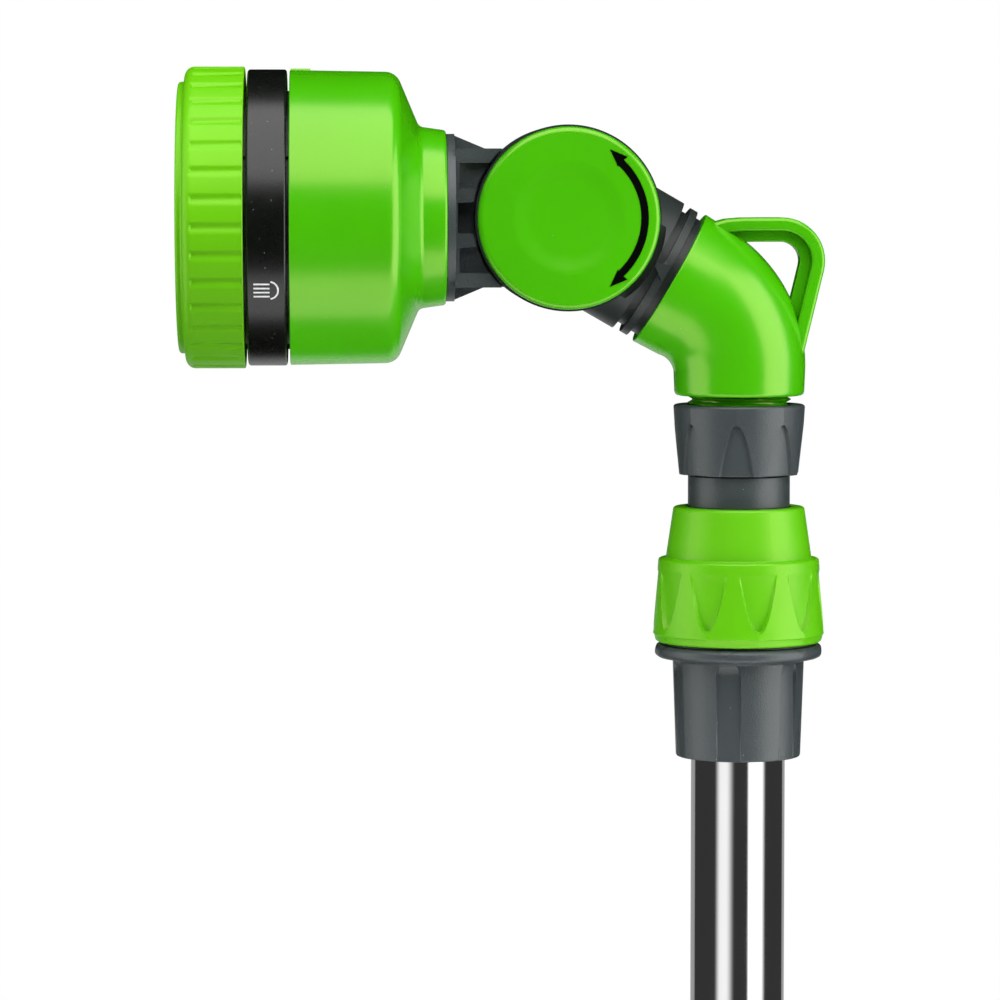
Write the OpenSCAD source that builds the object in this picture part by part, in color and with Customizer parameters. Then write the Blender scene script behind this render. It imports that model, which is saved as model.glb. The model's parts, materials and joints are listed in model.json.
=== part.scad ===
// Telescopic garden watering lance with a tilting spray head that has three patterns.
// Z runs up the tube from the end of the hose inlet. The spray head points to -X, the
// hanging loop is on the +X side and the printed pivot cap faces -Y.

/* [Frame] */
// Height of the tilt pivot above the end of the hose inlet
pivot_height = 600; // [580:5:640]
// Distance from the tilt pivot to the point where the elbow's two axes cross
arm_length = 51.2; // [50:0.2:53]
// Angle of the arm below the horizontal
arm_drop = 30; // [28:1:32]

/* [Spray head] */
// Distance from the pivot to the back of the knuckle flange
flange_start = 28.3; // [28:0.1:29]
// Radius of the knuckle flange
flange_r = 21.2; // [20.5:0.1:21.5]
// Thickness of the knuckle flange
flange_t = 2; // [1.8:0.1:2.2]
// Radius of the bell's neck
neck_r = 23.1; // [22.5:0.1:23.5]
// Radius of the bell at its shoulder
bell_r = 36.8; // [36.5:0.1:36.9]
// Length of the bell from its neck end to its open end
bell_length = 39.4; // [39.2:0.1:40]
// Wall thickness of the bell
bell_wall = 2.2; // [2:0.1:2.3]
// Radius of the ring that carries the pattern icons
icon_ring_r = 37.4; // [37.2:0.1:37.6]
// Width of the icon ring
icon_ring_w = 9.9; // [9.8:0.1:10.4]
// Radius of the grip ring
grip_r = 38.1; // [37.9:0.1:38.6]
// Width of the grip ring
grip_w = 15.1; // [15:0.1:15.6]
// Number of finger grooves in the grip ring
grip_grooves = 34; // [24:1:36]
// Depth of a finger groove
groove_depth = 0.8; // [0.6:0.1:1]
// Radius of the raised front rim
rim_r = 34.3; // [34:0.1:34.6]
// Height of the raised front rim
rim_h = 1.7; // [1.5:0.1:2]
// Gap on each side of the icon ring
ring_gap = 0.7; // [0.6:0.1:0.8]
// Number of spray patterns
pattern_count = 3; // [3:1:3]

/* [Pivot] */
// Radius of the pivot ears
hub_r = 23.4; // [23.2:0.1:23.6]
// Radius of the pivot caps
cap_r = 22.9; // [22.6:0.1:23]
// Thickness of a pivot cap
cap_t = 4.5; // [4.2:0.1:5]
// Distance from the middle plane to an ear's outer face
ear_out = 15; // [14.8:0.1:15.4]
// Distance from the middle plane to an ear's inner face
ear_in = 7.5; // [7.4:0.1:7.6]
// Radius of the pivot pin
pin_r = 9; // [8.8:0.1:9.2]
// Radius of the centreline of the printed arrow
arrow_r = 18.9; // [18.5:0.1:19.1]
// Line width of the printed arrow
arrow_w = 1.9; // [1.7:0.1:2.1]

/* [Elbow] */
// Radius of the arm
arm_r = 18.2; // [18:0.1:18.3]
// Distance from the pivot to the elbow's inlet rim
inlet_start = 30.4; // [30.2:0.1:30.6]
// Radius of the elbow at its inlet
inlet_r = 18.5; // [18.4:0.1:18.8]
// Radius of the elbow at its outlet
outlet_r = 16.5; // [16.2:0.1:16.8]
// Radius of the elbow's centreline
bend_r = 23; // [22.5:0.1:23.5]
// Thickness of the hanging loop's outer band
loop_band = 3.4; // [3.2:0.1:3.6]
// Width of the hanging loop's outer band
loop_width = 12; // [11:0.5:13]

/* [Union and lock] */
// Depth of the elbow's foot below the pivot
elbow_foot = 45.1; // [45:0.1:45.4]
// Depth of the union nut's top below the pivot
nut_top = 47.4; // [47.2:0.1:47.6]
// Height of the union nut
nut_h = 17.8; // [17.6:0.1:18]
// Radius of the union nut at its top
nut_r = 16.8; // [16.4:0.1:17]
// Radius of the collar under the union nut
collar_r = 13; // [12.9:0.1:13.1]
// Height of the lock nut
lock_h = 34.5; // [34.2:0.1:34.8]
// Largest radius of the lock nut
lock_r = 21.9; // [21.7:0.1:22.1]
// Number of finger scallops in the lock nut
lock_scallops = 10; // [8:1:12]
// Radius of the flange on the lock body
lock_flange_r = 21.4; // [21:0.1:21.6]
// Height of the lock body below the lock nut
lock_body_h = 28.8; // [28:0.1:29.4]

/* [Tubes] */
// Outer radius of the outer tube
outer_tube_r = 12; // [12:0.1:12]
// Wall thickness of the outer tube
outer_tube_wall = 1; // [0.9:0.1:1]
// Outer radius of the inner tube
inner_tube_r = 9.5; // [9.4:0.1:9.5]
// Wall thickness of the inner tube
inner_tube_wall = 0.8; // [0.7:0.1:0.9]

/* [Handle and valve] */
// Height of the handle's top above the inlet end
handle_top = 190; // [186:1:196]
// Length of the soft grip
grip_length = 113; // [110:1:114]
// Radius of the soft grip
sleeve_r = 17; // [16.5:0.1:17.5]
// Radius of the valve body
valve_r = 15.5; // [15.2:0.1:16]
// Height of the valve ball's centre above the inlet end
ball_height = 46; // [46:0.1:46.4]
// Radius of the valve ball
ball_r = 9.6; // [9.5:0.1:9.7]
// Length of the valve lever from its axis
lever_length = 32; // [28:1:34]
// Radius of the inlet nipple's barrel
nipple_r = 7.7; // [7.6:0.1:7.8]

/* [Hidden] */

fine = 96;
wire_fn = 32;
eps = 0.02;
run = 0.3;
fit = 0.05;

lime = "#54c808";
lime_light = "#6ed20f";
graphite = "#3c4244";
jet_black = "#181c18";
rubber_black = "#1c1c1c";
print_white = "#f2f2f2";
polished = "#d8dadc";
steel = "#b4b6b8";
ivory = "#dcd8c8";
brass_tone = "#b89b52";

// Positions of the pivot and of the elbow
pivot_z = pivot_height;
pivot_x = -arm_length * cos(arm_drop);
bend_angle = 90 - arm_drop;
bend_tangent = bend_r * tan(bend_angle / 2);
bend_drop = arm_length * sin(arm_drop);
body_r = (inlet_r + outlet_r) / 2 + 0.1;

// Stations along the head, measured from the pivot
neck_start = flange_start + flange_t + 0.1;
bell_end = neck_start + bell_length;
icon_start = bell_end + ring_gap;
icon_end = icon_start + icon_ring_w;
grip_start = icon_end + ring_gap;
grip_end = grip_start + grip_w;
rim_end = grip_end + rim_h;
bell_in_r = bell_r - bell_wall;

// The drum that turns inside the bell, and the fixed distributor behind it
drum_r = 32;
drum_wall = 2.1;
drum_back = bell_end - 6.8;
drum_floor = 4;
drum_front = grip_end - 2.8;
dist_t = 8;
dist_front = drum_back - 0.4;
dist_back = dist_front - dist_t;
port_orbit = 20;
port_r = 3;
screw_orbit = 29;
screw_start = 30;
detent_orbit = 26;
key_w = 3;
key_h = 1.2;
spigot_r = 12;
spigot_end = neck_start + 18;
bore_r = 6;

// Pivot details
disc_half = 7;
disc_r = 22.8;
chamber_half = 2.5;
ear_clear_r = hub_r + 0.5;
arrow_neck = 47;
arrow_head = 12.5;
arrow_tip_r = 19.9;
arrow_t = 0.2;
spigot_arm_r = 14;
spigot_arm_end = inlet_start + 14;

// Depths below the pivot in the union and the lock
nut_bottom = nut_top + nut_h;
nut_foot_r = nut_r - 1.15;
thread_r = 13.2;
thread_end = nut_top + 8.2;
washer_t = 2;
tail_top = thread_end + washer_t;
tail_flange_t = 2.2;
collar_top = nut_bottom + run;
collar_bottom = nut_bottom + 8.5;
tube_top = collar_top + 3.5;
lock_top = collar_bottom - 0.2;
lock_bottom = lock_top + lock_h;
lock_skirt = lock_top + 12.7;
ring_t = 0.55;
lock_body_top = lock_bottom + 0.6;
lock_body_bottom = lock_body_top + lock_body_h;
lock_flange_t = 3.3;
body_neck_r = 15.4;
body_neck_top = lock_skirt - 0.4;
collet_top = lock_top + 4.5;
collet_r = 13.2;
pocket_count = 6;
pocket_span = 22.5;

// Heights of the tubes and the handle
outer_top = pivot_z - lock_body_top + 4;
outer_in_r = outer_tube_r - outer_tube_wall;
inner_in_r = inner_tube_r - inner_tube_wall;
outer_bottom = handle_top - 20;
piston_bottom = outer_bottom + 12;
piston_h = 14;
inner_bottom = piston_bottom + piston_h;
inner_top = pivot_z - tube_top;
sleeve_top = handle_top - 8;
sleeve_bottom = sleeve_top - grip_length;
core_r = 13.6;
valve_top = sleeve_bottom - 5;
core_spigot = 6.4;
valve_bottom = 26;
stem_r = 4;
lever_y = valve_r + 7.5;

function arc(cx, cy, r, from, to, steps = 6) =
    [for (i = [0:steps]) let (a = from + (to - from) * i / steps) [cx + r * cos(a), cy + r * sin(a)]];

// Frames: along the head, along the arm, across the pivot and down from the pivot
module at_pivot() { translate([pivot_x, 0, pivot_z]) children(); }
module along_head() { at_pivot() rotate([0, -90, 0]) children(); }
module along_arm() { at_pivot() rotate([0, 90 + arm_drop, 0]) children(); }
module across_pivot() { at_pivot() rotate([90, 0, 0]) children(); }
module both_sides() { children(); mirror([0, 1, 0]) children(); }
module down_from_pivot() { translate([0, 0, pivot_z]) children(); }
module around(count, start = 0) {
    for (i = [0:count - 1]) rotate([0, 0, start + i * 360 / count]) children();
}

module turned(points) { rotate_extrude($fn = fine) polygon(points); }
module rod(r, z0, z1) { translate([0, 0, z0]) cylinder(r = r, h = z1 - z0, $fn = fine); }
module pipe(r_out, r_in, z0, z1) {
    difference() {
        rod(r_out, z0, z1);
        rod(r_in, z0 - 1, z1 + 1);
    }
}
module seal_ring(mid_r, wire_r, z) {
    translate([0, 0, z]) rotate_extrude($fn = fine) translate([mid_r, 0]) circle(r = wire_r, $fn = wire_fn);
}

// ---- Spray dial ----

module face_plate() {
    color(graphite) along_head() difference() {
        union() {
            rod(31.6, drum_front + run, grip_end + 0.2);
            rod(rim_r - 0.5, drum_front + run, grip_end - 0.2);
            rod(9, grip_end, rim_end - 0.2);
        }
        for (ring = [0:2])
            around(18 + 6 * ring, 5 * ring)
                translate([18 + 5.5 * ring, 0, 0]) rod(0.6, drum_front, rim_end);
        rod(2.4, drum_front, rim_end);
        around(6) translate([13.4, 0, 0]) rod(0.9, drum_front, rim_end);
    }
}

module grip_ring() {
    lip_r = 31.8;
    corner = 2.5;
    color(lime_light) along_head() difference() {
        turned(concat(
            [[drum_r + fit, grip_start], [grip_r - 0.5, grip_start], [grip_r, grip_start + 0.5]],
            arc(grip_r - corner, grip_end - corner, corner, 0, 90),
            [[rim_r, grip_end], [rim_r, rim_end - 0.5], [rim_r - 0.5, rim_end], [lip_r, rim_end],
             [lip_r, grip_end + 0.3], [lip_r + 0.2, grip_end - 0.1], [rim_r - 0.4, grip_end - 0.1],
             [rim_r - 0.4, drum_front + run], [drum_r + fit, drum_front + run]]));
        around(grip_grooves, -92)
            translate([grip_r - groove_depth, 0, grip_start + 0.7])
                linear_extrude(grip_w) polygon([[0, 0], [2, -1.5], [2, 1.5]]);
        drum_keys(0.1);
    }
}

module icon_ring() {
    color(jet_black) along_head() difference() {
        turned([[drum_r + fit, icon_start], [icon_ring_r - 0.5, icon_start],
                [icon_ring_r, icon_start + 0.5], [icon_ring_r, icon_end - 0.5],
                [icon_ring_r - 0.5, icon_end], [drum_r + fit, icon_end]]);
        drum_keys(0.1);
    }
}

// Three generic pictograms printed on the icon ring: a rose, a single jet and a mist
module pattern_icons() {
    ink = 0.12;
    line = 0.5;
    middle = (icon_start + icon_end) / 2;
    color(print_white) along_head() intersection() {
        pipe(icon_ring_r + ink, icon_ring_r, icon_start, icon_end);
        union() {
            rotate([0, 0, -120]) translate([30, 0, middle]) rotate([0, 90, 0]) linear_extrude(10) rose_icon(line);
            translate([30, 0, middle]) rotate([0, 90, 0]) linear_extrude(10) jet_icon(line);
            rotate([0, 0, 120]) translate([30, 0, middle]) rotate([0, 90, 0]) linear_extrude(10) mist_icon(line);
        }
    }
}
module icon_cap(line) {
    translate([1, 0]) difference() {
        circle(r = 2.3, $fn = wire_fn);
        circle(r = 2.3 - line, $fn = wire_fn);
        translate([-5, -5]) square([5, 10]);
    }
}
module rose_icon(line) {
    icon_cap(line);
    for (i = [0:3]) translate([-3.4, -1.8 + i * 1.04]) square([4, line]);
}
module jet_icon(line) {
    icon_cap(line);
    translate([-3.4, -line]) square([4, 2 * line]);
}
module mist_icon(line) {
    icon_cap(line);
    for (row = [0:2], i = [0:3])
        translate([-3 + row * 1.3, -1.6 + i * 1.04]) circle(r = line / 2, $fn = wire_fn);
}

module drum_keys(play) {
    around(pattern_count, 60)
        translate([drum_r - 0.5, -key_w / 2 - play, icon_start - 1])
            cube([key_h + 0.5 + play, key_w + 2 * play, drum_front - icon_start + 1 + play]);
}

module selector_drum() {
    floor_front = drum_back + drum_floor;
    color(graphite) along_head() difference() {
        union() {
            turned([[5.3, drum_back], [bell_in_r - 0.5, drum_back], [bell_in_r - 0.5, drum_back + 1.6],
                    [bell_in_r - 2.4, drum_back + 1.6], [bell_in_r - 2.4, drum_back + 3.9],
                    [bell_in_r - 0.5, drum_back + 3.9], [bell_in_r - 0.5, drum_back + 5.6],
                    [drum_r, drum_back + 5.6], [drum_r, drum_front],
                    [drum_r - drum_wall, drum_front], [drum_r - drum_wall, floor_front],
                    [5.3, floor_front]]);
            drum_keys(0);
        }
        around(pattern_count) translate([port_orbit, 0, 0]) rod(port_r, drum_back - 1, floor_front + 1);
        rotate_extrude($fn = fine) translate([detent_orbit, drum_back]) circle(r = 2.2, $fn = wire_fn);
        around(pattern_count, 180) translate([detent_orbit, 0, drum_back]) sphere(r = 2.6, $fn = fine);
    }
}

// Leads each drum port to its own chamber behind the face plate
module spray_divider() {
    back = drum_back + drum_floor + 8;
    front = back + 6;
    mid = (back + front) / 2;
    color(jet_black) along_head() difference() {
        union() {
            rod(drum_r - drum_wall - 0.1, back, front);
            pipe(17, 15.8, front - 0.1, drum_front);
            pipe(10.8, 9.6, front - 0.1, drum_front);
            around(pattern_count) translate([port_orbit, 0, 0])
                rod(port_r + 1.4, drum_back + drum_floor, back + 0.1);
        }
        around(pattern_count) translate([port_orbit, 0, 0]) rod(port_r, drum_back, mid);
        rotate([0, 0, -120]) translate([port_orbit, 0, 0]) rod(port_r, drum_back, front + 1);
        translate([0, 0, mid]) rotate([0, 90, 0]) rod(2, 0, port_orbit);
        rod(2, mid, front + 1);
        rotate([0, 0, 120]) translate([0, 0, mid]) rotate([0, 90, 0]) rod(2, 13.3, port_orbit);
        rotate([0, 0, 120]) translate([13.3, 0, 0]) rod(1.8, mid, front + 1);
    }
}

module dial_screw() {
    head_z = drum_back + drum_floor + 1.2;
    color(steel) along_head() difference() {
        union() {
            rod(1.6, dist_front - 4, head_z);
            turned([[0, head_z], [3.6, head_z], [3.6, head_z + 1.2], [2.6, head_z + 2.4], [0, head_z + 2.4]]);
        }
        translate([-0.4, -2.2, head_z + 1.2]) cube([0.8, 4.4, 2]);
        translate([-2.2, -0.4, head_z + 1.2]) cube([4.4, 0.8, 2]);
    }
}

module dial_washer() {
    z = drum_back + drum_floor + 0.2;
    color(steel) along_head() pipe(7, 1.8, z, z + 1);
}

module drum_seal() {
    color(rubber_black) along_head() seal_ring(bell_in_r - 1.4, 1, drum_back + 2.75);
}

// ---- Head body ----

module head_housing() {
    slope = atan(4.3 / 10.2);
    shoulder = 4;
    fillet = 2;
    open_r = bell_r + 0.5;
    slope_z = neck_start + 7.4;
    dz = tan(slope);
    shoulder_z = slope_z + (bell_r - shoulder + shoulder * sin(slope) - neck_r - 1.3) * dz + shoulder * cos(slope);
    fillet_z = slope_z + (fillet - 1.3) * dz - fillet / cos(slope);
    in_slope_z = slope_z + bell_wall / cos(slope);
    color(lime) along_head() difference() {
        union() {
            turned(concat(
                [[spigot_r + 0.2, neck_start], [neck_r - 2, neck_start]],
                arc(neck_r - 2, neck_start + 1, 1, -90, 0, 3),
                arc(neck_r + fillet, fillet_z, fillet, 180, 90 + slope, 4),
                arc(bell_r - shoulder, shoulder_z, shoulder, slope - 90, 0),
                [[open_r, bell_end - 0.4], [open_r - 0.4, bell_end], [bell_in_r + 0.2, bell_end],
                 [bell_in_r, bell_end - 0.4], [bell_in_r, shoulder_z],
                 [bell_in_r - 2, in_slope_z + (bell_in_r - 2 - neck_r - 1.3) * dz],
                 [neck_r - bell_wall, in_slope_z - 2], [neck_r - bell_wall, neck_start + 2.6],
                 [spigot_r + 0.2, neck_start + 2.6]]));
            around(3, screw_start) translate([screw_orbit, 0, 0]) rod(3.2, in_slope_z + 1, dist_back - 0.1);
            translate([bell_r - 0.8, -1, bell_end - 5.4]) cube([2, 2, 5]);
        }
        around(3, screw_start) translate([screw_orbit, 0, 0]) rod(1.05, dist_back - 9, dist_back);
    }
}

// Fixed plate that leads the water to the one port in line with the pointer
module distributor() {
    color(ivory) along_head() difference() {
        union() {
            rod(bell_in_r - 0.1, dist_back, dist_front);
            rod(7.9, dist_back - 9, dist_back);
            rod(5, dist_front, drum_back + drum_floor + 0.1);
        }
        rod(4.5, dist_back - 10, dist_back + 3);
        translate([0, 0, dist_back + 3.2]) rotate([0, 90, 0]) rod(2.4, 0, port_orbit);
        translate([port_orbit, 0, 0]) rod(2.4, dist_back + 3.2, dist_front + 1);
        translate([port_orbit, 0, 0]) rod(4.4, dist_front - 1.6, dist_front + 1);
        rod(1.65, dist_front - 4.5, drum_back + drum_floor + 1);
        translate([-detent_orbit, 0, 0]) rod(2.2, dist_front - 6, dist_front + 1);
        around(3, screw_start) translate([screw_orbit, 0, 0]) {
            rod(1.5, dist_back - 1, dist_front + 1);
            turned([[0, dist_front + eps], [3, dist_front + eps], [1.5, dist_front - 1.5], [0, dist_front - 1.5]]);
        }
    }
}

module distributor_screws() {
    color(steel) along_head() around(3, screw_start) translate([screw_orbit, 0, 0]) difference() {
        union() {
            rod(1, dist_back - 8, dist_front - 1);
            turned([[0, dist_front - 0.1], [2.7, dist_front - 0.1], [1, dist_front - 1.8], [0, dist_front - 1.8]]);
        }
        translate([-0.3, -1.6, dist_front - 0.9]) cube([0.6, 3.2, 2]);
        translate([-1.6, -0.3, dist_front - 0.9]) cube([3.2, 0.6, 2]);
    }
}

module port_seal() {
    color(rubber_black) along_head() translate([port_orbit, 0, 0]) pipe(4.3, 2.6, dist_front - 1.6, dist_front + 0.1);
}

module detent_ball() {
    color(steel) along_head() translate([-detent_orbit, 0, dist_front - 0.9]) sphere(r = 2, $fn = fine);
}

// Coil spring behind the detent ball, drawn as a stack of closed turns
module detent_spring() {
    color(steel) along_head() translate([-detent_orbit, 0, 0])
        for (turn = [0:3]) seal_ring(1.6, 0.3, dist_front - 5.6 + turn * 0.66);
}

module neck_nut() {
    color(brass_tone) along_head() difference() {
        pipe(18, spigot_r + 0.1, neck_start + 4.4, neck_start + 9);
        around(6) translate([18, 0, 0]) rod(1.6, neck_start + 4, neck_start + 10);
    }
}

module neck_seal() {
    color(rubber_black) along_head() pipe(17, spigot_r + 0.1, neck_start + 2.7, neck_start + 4.3);
}

module head_knuckle() {
    half_z = 17.4;
    half_y = 14.5;
    rib = 3;
    block_back = 8;
    color(graphite) difference() {
        union() {
            across_pivot() translate([0, 0, -disc_half]) cylinder(r = disc_r, h = 2 * disc_half, $fn = fine);
            difference() {
                along_head() translate([-half_z, -half_y, block_back])
                    cube([2 * half_z, 2 * half_y, flange_start - block_back + 0.1]);
                both_sides() across_pivot() rod(ear_clear_r + 0.2, disc_half, ear_out + 5);
                both_sides() along_head() knuckle_pockets();
            }
            along_head() rod(flange_r, flange_start, flange_start + flange_t);
            along_head() rod(spigot_r, flange_start + flange_t, spigot_end);
            for (side = [-1, 1]) at_pivot() rotate([90, 0, 0]) translate([0, 0, -rib / 2])
                linear_extrude(rib) polygon([[-20.3, side * (half_z - 1)], [-20.3, side * half_z],
                    [-flange_start - 0.1, side * (flange_r - 0.4)], [-flange_start - 0.1, side * (half_z - 1)]]);
        }
        across_pivot() rod(pin_r + 0.1, -disc_half - 1, disc_half + 1);
        across_pivot() rod(pin_r + 2.5, -chamber_half, chamber_half);
        along_head() rod(bore_r - 1.5, pin_r, spigot_end + 1);
        along_head() rod(8, dist_back - 10, spigot_end + 1);
    }
}

// Recesses in the knuckle's side: two shallow pockets and a deep middle slot
module knuckle_pockets() {
    floor_y = -11.5;
    for (side = [-1, 1]) mirror([side < 0 ? 1 : 0, 0, 0])
        translate([0, floor_y, 0]) rotate([90, 0, 0])
            linear_extrude(10) polygon([[7.5, flange_start - 1], [6.2, 10], [13.8, 10], [13.8, flange_start - 1]]);
    translate([0, -8.6, 0]) rotate([90, 0, 0])
        linear_extrude(10) polygon([[-3.8, flange_start - 0.6], [-4.6, 10], [4.6, 10], [3.8, flange_start - 0.6]]);
}

// ---- Pivot and arm ----

module arm_knuckle() {
    color(graphite) difference() {
        union() {
            across_pivot() rod(hub_r, -ear_out, ear_out);
            along_arm() {
                rod(arm_r, 0, inlet_start - 6.2);
                rod(16.2, 0, inlet_start - 4.1);
                rod(18, inlet_start - 4.1, inlet_start - 2.1);
                rod(16.5, inlet_start - 4.1, inlet_start);
                rod(spigot_arm_r, 0, inlet_start + 5);
                rod(spigot_arm_r - 1.8, 0, inlet_start + 7.6);
                rod(spigot_arm_r, inlet_start + 7.6, spigot_arm_end);
                arm_nib();
            }
        }
        across_pivot() rod(disc_r + 0.7, -ear_in, ear_in);
        both_sides() across_pivot() rod(24.6, ear_out, ear_out + 8);
        across_pivot() rod(pin_r + fit, -ear_out - 1, ear_out + 1);
        along_arm() rod(8, inlet_start - 2, spigot_arm_end + 1);
        for (side = [-1, 1]) along_arm() translate([0, side * (ear_in + 3.6), 0]) rod(2.5, pin_r - 1, inlet_start);
    }
}

// Wedge that snaps the elbow on, on the printed side
module arm_nib() {
    translate([0, -15, 0]) rotate([90, 0, 0])
        linear_extrude(4) polygon([[-0.9, 23.9], [-2.7, 27.9], [2.1, 28]]);
}

// Hollow spindle: water enters from both ears and leaves in the middle
module pivot_pin() {
    groove = 7.2;
    shoulder = ear_out + 1.8;
    color(steel) across_pivot() difference() {
        turned([[0, -shoulder], [12.5, -shoulder], [12.5, -ear_out - 0.1], [pin_r, -ear_out - 0.1],
                [pin_r, -ear_out + 1], [groove, -ear_out + 1], [groove, -ear_out + 3.2], [pin_r, -ear_out + 3.2],
                [pin_r, -5.9], [groove, -5.9], [groove, -3.7], [pin_r, -3.7],
                [pin_r, 3.7], [groove, 3.7], [groove, 5.9], [pin_r, 5.9],
                [pin_r, ear_out - 3.2], [groove, ear_out - 3.2], [groove, ear_out - 1], [pin_r, ear_out - 1],
                [pin_r, ear_out - 0.2], [0, ear_out - 0.2]]);
        rod(5, -shoulder - 1, ear_out - 6);
        rod(1.7, ear_out - 7, ear_out + 1);
        for (level = [-ear_in - 2.2, 0, ear_in + 1.2]) translate([0, 0, level])
            around(4, arm_drop) rotate([0, 90, 0]) rod(1.4, 0, pin_r + 1);
    }
}

module pin_plug() {
    color(steel) across_pivot() rod(4.95, -ear_out - 1.8, -ear_out + 2.5);
}

module pivot_seals() {
    color(rubber_black) across_pivot() for (side = [-1, 1]) seal_ring(8.1, 0.84, side * 4.8);
}

module pivot_end_seals() {
    color(rubber_black) across_pivot() for (side = [-1, 1]) seal_ring(8.1, 0.84, side * (ear_out - 2.1));
}

module slip_washers() {
    color(ivory) across_pivot() for (side = [-1, 1])
        translate([0, 0, side * (ear_in - 0.25)]) pipe(20, pin_r + 0.6, -0.19, 0.19);
}

module pivot_screw() {
    z = ear_out + 1.1;
    color(steel) across_pivot() difference() {
        union() {
            rod(1.6, ear_out - 6.5, z);
            rod(3.2, z, z + 0.8);
        }
        translate([-0.4, -2, z + 0.4]) cube([0.8, 4, 1]);
        translate([-2, -0.4, z + 0.4]) cube([4, 0.8, 1]);
    }
}

module pivot_clamp() {
    color(steel) across_pivot() pipe(12.5, 1.7, ear_out + 0.1, ear_out + 1);
}

module cap_profile() {
    edge = 2.2;
    dish_r = 13;
    dish = 0.9;
    skin = 1.6;
    turned(concat(
        [[0, cap_t - skin - dish], [20.6, cap_t - skin - dish], [20.6, 0.1], [cap_r, 0.1]],
        arc(cap_r - edge, cap_t - edge, edge, 0, 90),
        [[dish_r + 1, cap_t], [dish_r - 1, cap_t - 0.5 * dish], [dish_r - 4, cap_t - dish], [0, cap_t - dish]]));
}

module pivot_cap_front() {
    color(lime) across_pivot() translate([0, 0, ear_out]) cap_profile();
}

module pivot_cap_rear() {
    color(lime) mirror([0, 1, 0]) across_pivot() translate([0, 0, ear_out]) cap_profile();
}

// Double-headed tilt arrow printed on the front cap
module pivot_arrow() {
    color(jet_black) across_pivot() translate([0, 0, ear_out + cap_t]) {
        rotate([0, 0, -arrow_neck]) rotate_extrude(angle = 2 * arrow_neck, $fn = fine)
            translate([arrow_r - arrow_w / 2, 0]) square([arrow_w, arrow_t]);
        for (side = [-1, 1]) mirror([0, side < 0 ? 1 : 0, 0]) rotate([0, 0, arrow_neck])
            linear_extrude(arrow_t)
                polygon([[arrow_r - 1.3, -0.1], [arrow_r + 2.2, -0.1],
                         [arrow_tip_r * cos(arrow_head), arrow_tip_r * sin(arrow_head)]]);
    }
}

module arm_seal() {
    color(rubber_black) along_arm() seal_ring(13.12, 0.86, inlet_start + 6.3);
}

// ---- Elbow with the hanging loop ----

module bend(r) {
    translate([-bend_r, 0, pivot_z - bend_drop - bend_tangent]) rotate([90, 0, 0])
        rotate_extrude(angle = bend_angle, $fn = fine) translate([bend_r, 0]) circle(r = r, $fn = fine);
}

// Half of a band around the loop: its line at a given inset from the outer outline
function loop_line(inset) = let (
        corner = [10.3, -10.9],
        lean = 13.5,
        fall = 22,
        r = 11 - inset,
        foot = [corner.x + r * cos(lean) - fall * tan(lean), corner.y - r * sin(lean) - fall]
    ) concat([[-9.5, corner.y + r - 2.4], [-4, corner.y + r - 0.4], [2, corner.y + r]],
             arc(corner.x, corner.y, r, 90, -lean, 8), [foot]);
function reversed(list) = [for (i = [len(list) - 1:-1:0]) list[i]];

module loop_plate(width, outer, inner) {
    down_from_pivot() rotate([90, 0, 0]) translate([0, 0, -width / 2])
        linear_extrude(width) polygon(concat(loop_line(outer), reversed(loop_line(inner))));
}

module elbow() {
    foot = 1;
    lap = 0.4;
    inlet_end = arm_length - bend_tangent;
    outlet_start = bend_drop + bend_tangent;
    color(lime) difference() {
        union() {
            along_arm() turned([[0, inlet_start], [inlet_r - 0.5, inlet_start], [inlet_r, inlet_start + 0.5],
                                [body_r + 0.2, inlet_end], [body_r - 0.2, inlet_end + lap], [0, inlet_end + lap]]);
            bend(body_r);
            down_from_pivot() {
                turned([[0, -outlet_start + lap], [body_r - 0.2, -outlet_start + lap],
                        [outlet_r, -elbow_foot + foot], [outlet_r - foot, -elbow_foot], [0, -elbow_foot]]);
                rod(thread_r - 1, -thread_end, -elbow_foot + lap);
                for (turn = [0:4]) translate([0, 0, -elbow_foot - 1 - turn * 1.81])
                    turned([[0, 0], [thread_r - 1.1, 0], [thread_r, -0.6], [thread_r, -0.8],
                            [thread_r - 1.1, -1.4], [0, -1.4]]);
            }
            loop_plate(loop_width, 0, loop_band);
            loop_plate(5, loop_band - 0.1, loop_band + 2.8);
        }
        along_arm() rod(spigot_arm_r + fit, inlet_start - 1, spigot_arm_end + 0.3);
        bend(9.5);
        down_from_pivot() rod(9, -thread_end - 1, -outlet_start + 2);
    }
}

// ---- Union ----

// Pointed arch, open at the foot, for the union nut's recesses
function arch_outline(half, spring, top) = concat(
    [[-half, -1], [half, -1]],
    [for (i = [0:8]) let (t = i / 8) [half * (1 - t * t), spring + (top - spring) * t]],
    [for (i = [7:-1:0]) let (t = i / 8) [-half * (1 - t * t), spring + (top - spring) * t]]);

module union_nut() {
    recess = 0.6;
    foot_r = nut_foot_r;
    color(graphite) down_from_pivot() difference() {
        turned([[thread_r + 0.3, -nut_top], [nut_r - 0.6, -nut_top], [nut_r, -nut_top - 0.6],
                [foot_r, -nut_bottom + 0.3], [foot_r - 0.3, -nut_bottom], [10.9, -nut_bottom],
                [10.9, -tail_top - tail_flange_t - run], [thread_r + 0.3, -tail_top - tail_flange_t - run]]);
        difference() {
            around(8, -90 - 7.3) translate([foot_r - 4, 0, -nut_bottom]) rotate([90, 0, 90])
                linear_extrude(10) polygon(arch_outline(4.7, 3, 13.4));
            turned([[0, -nut_top + 1], [nut_r - recess, -nut_top + 1], [foot_r - recess, -nut_bottom - 2],
                    [0, -nut_bottom - 2]]);
        }
    }
}

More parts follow.
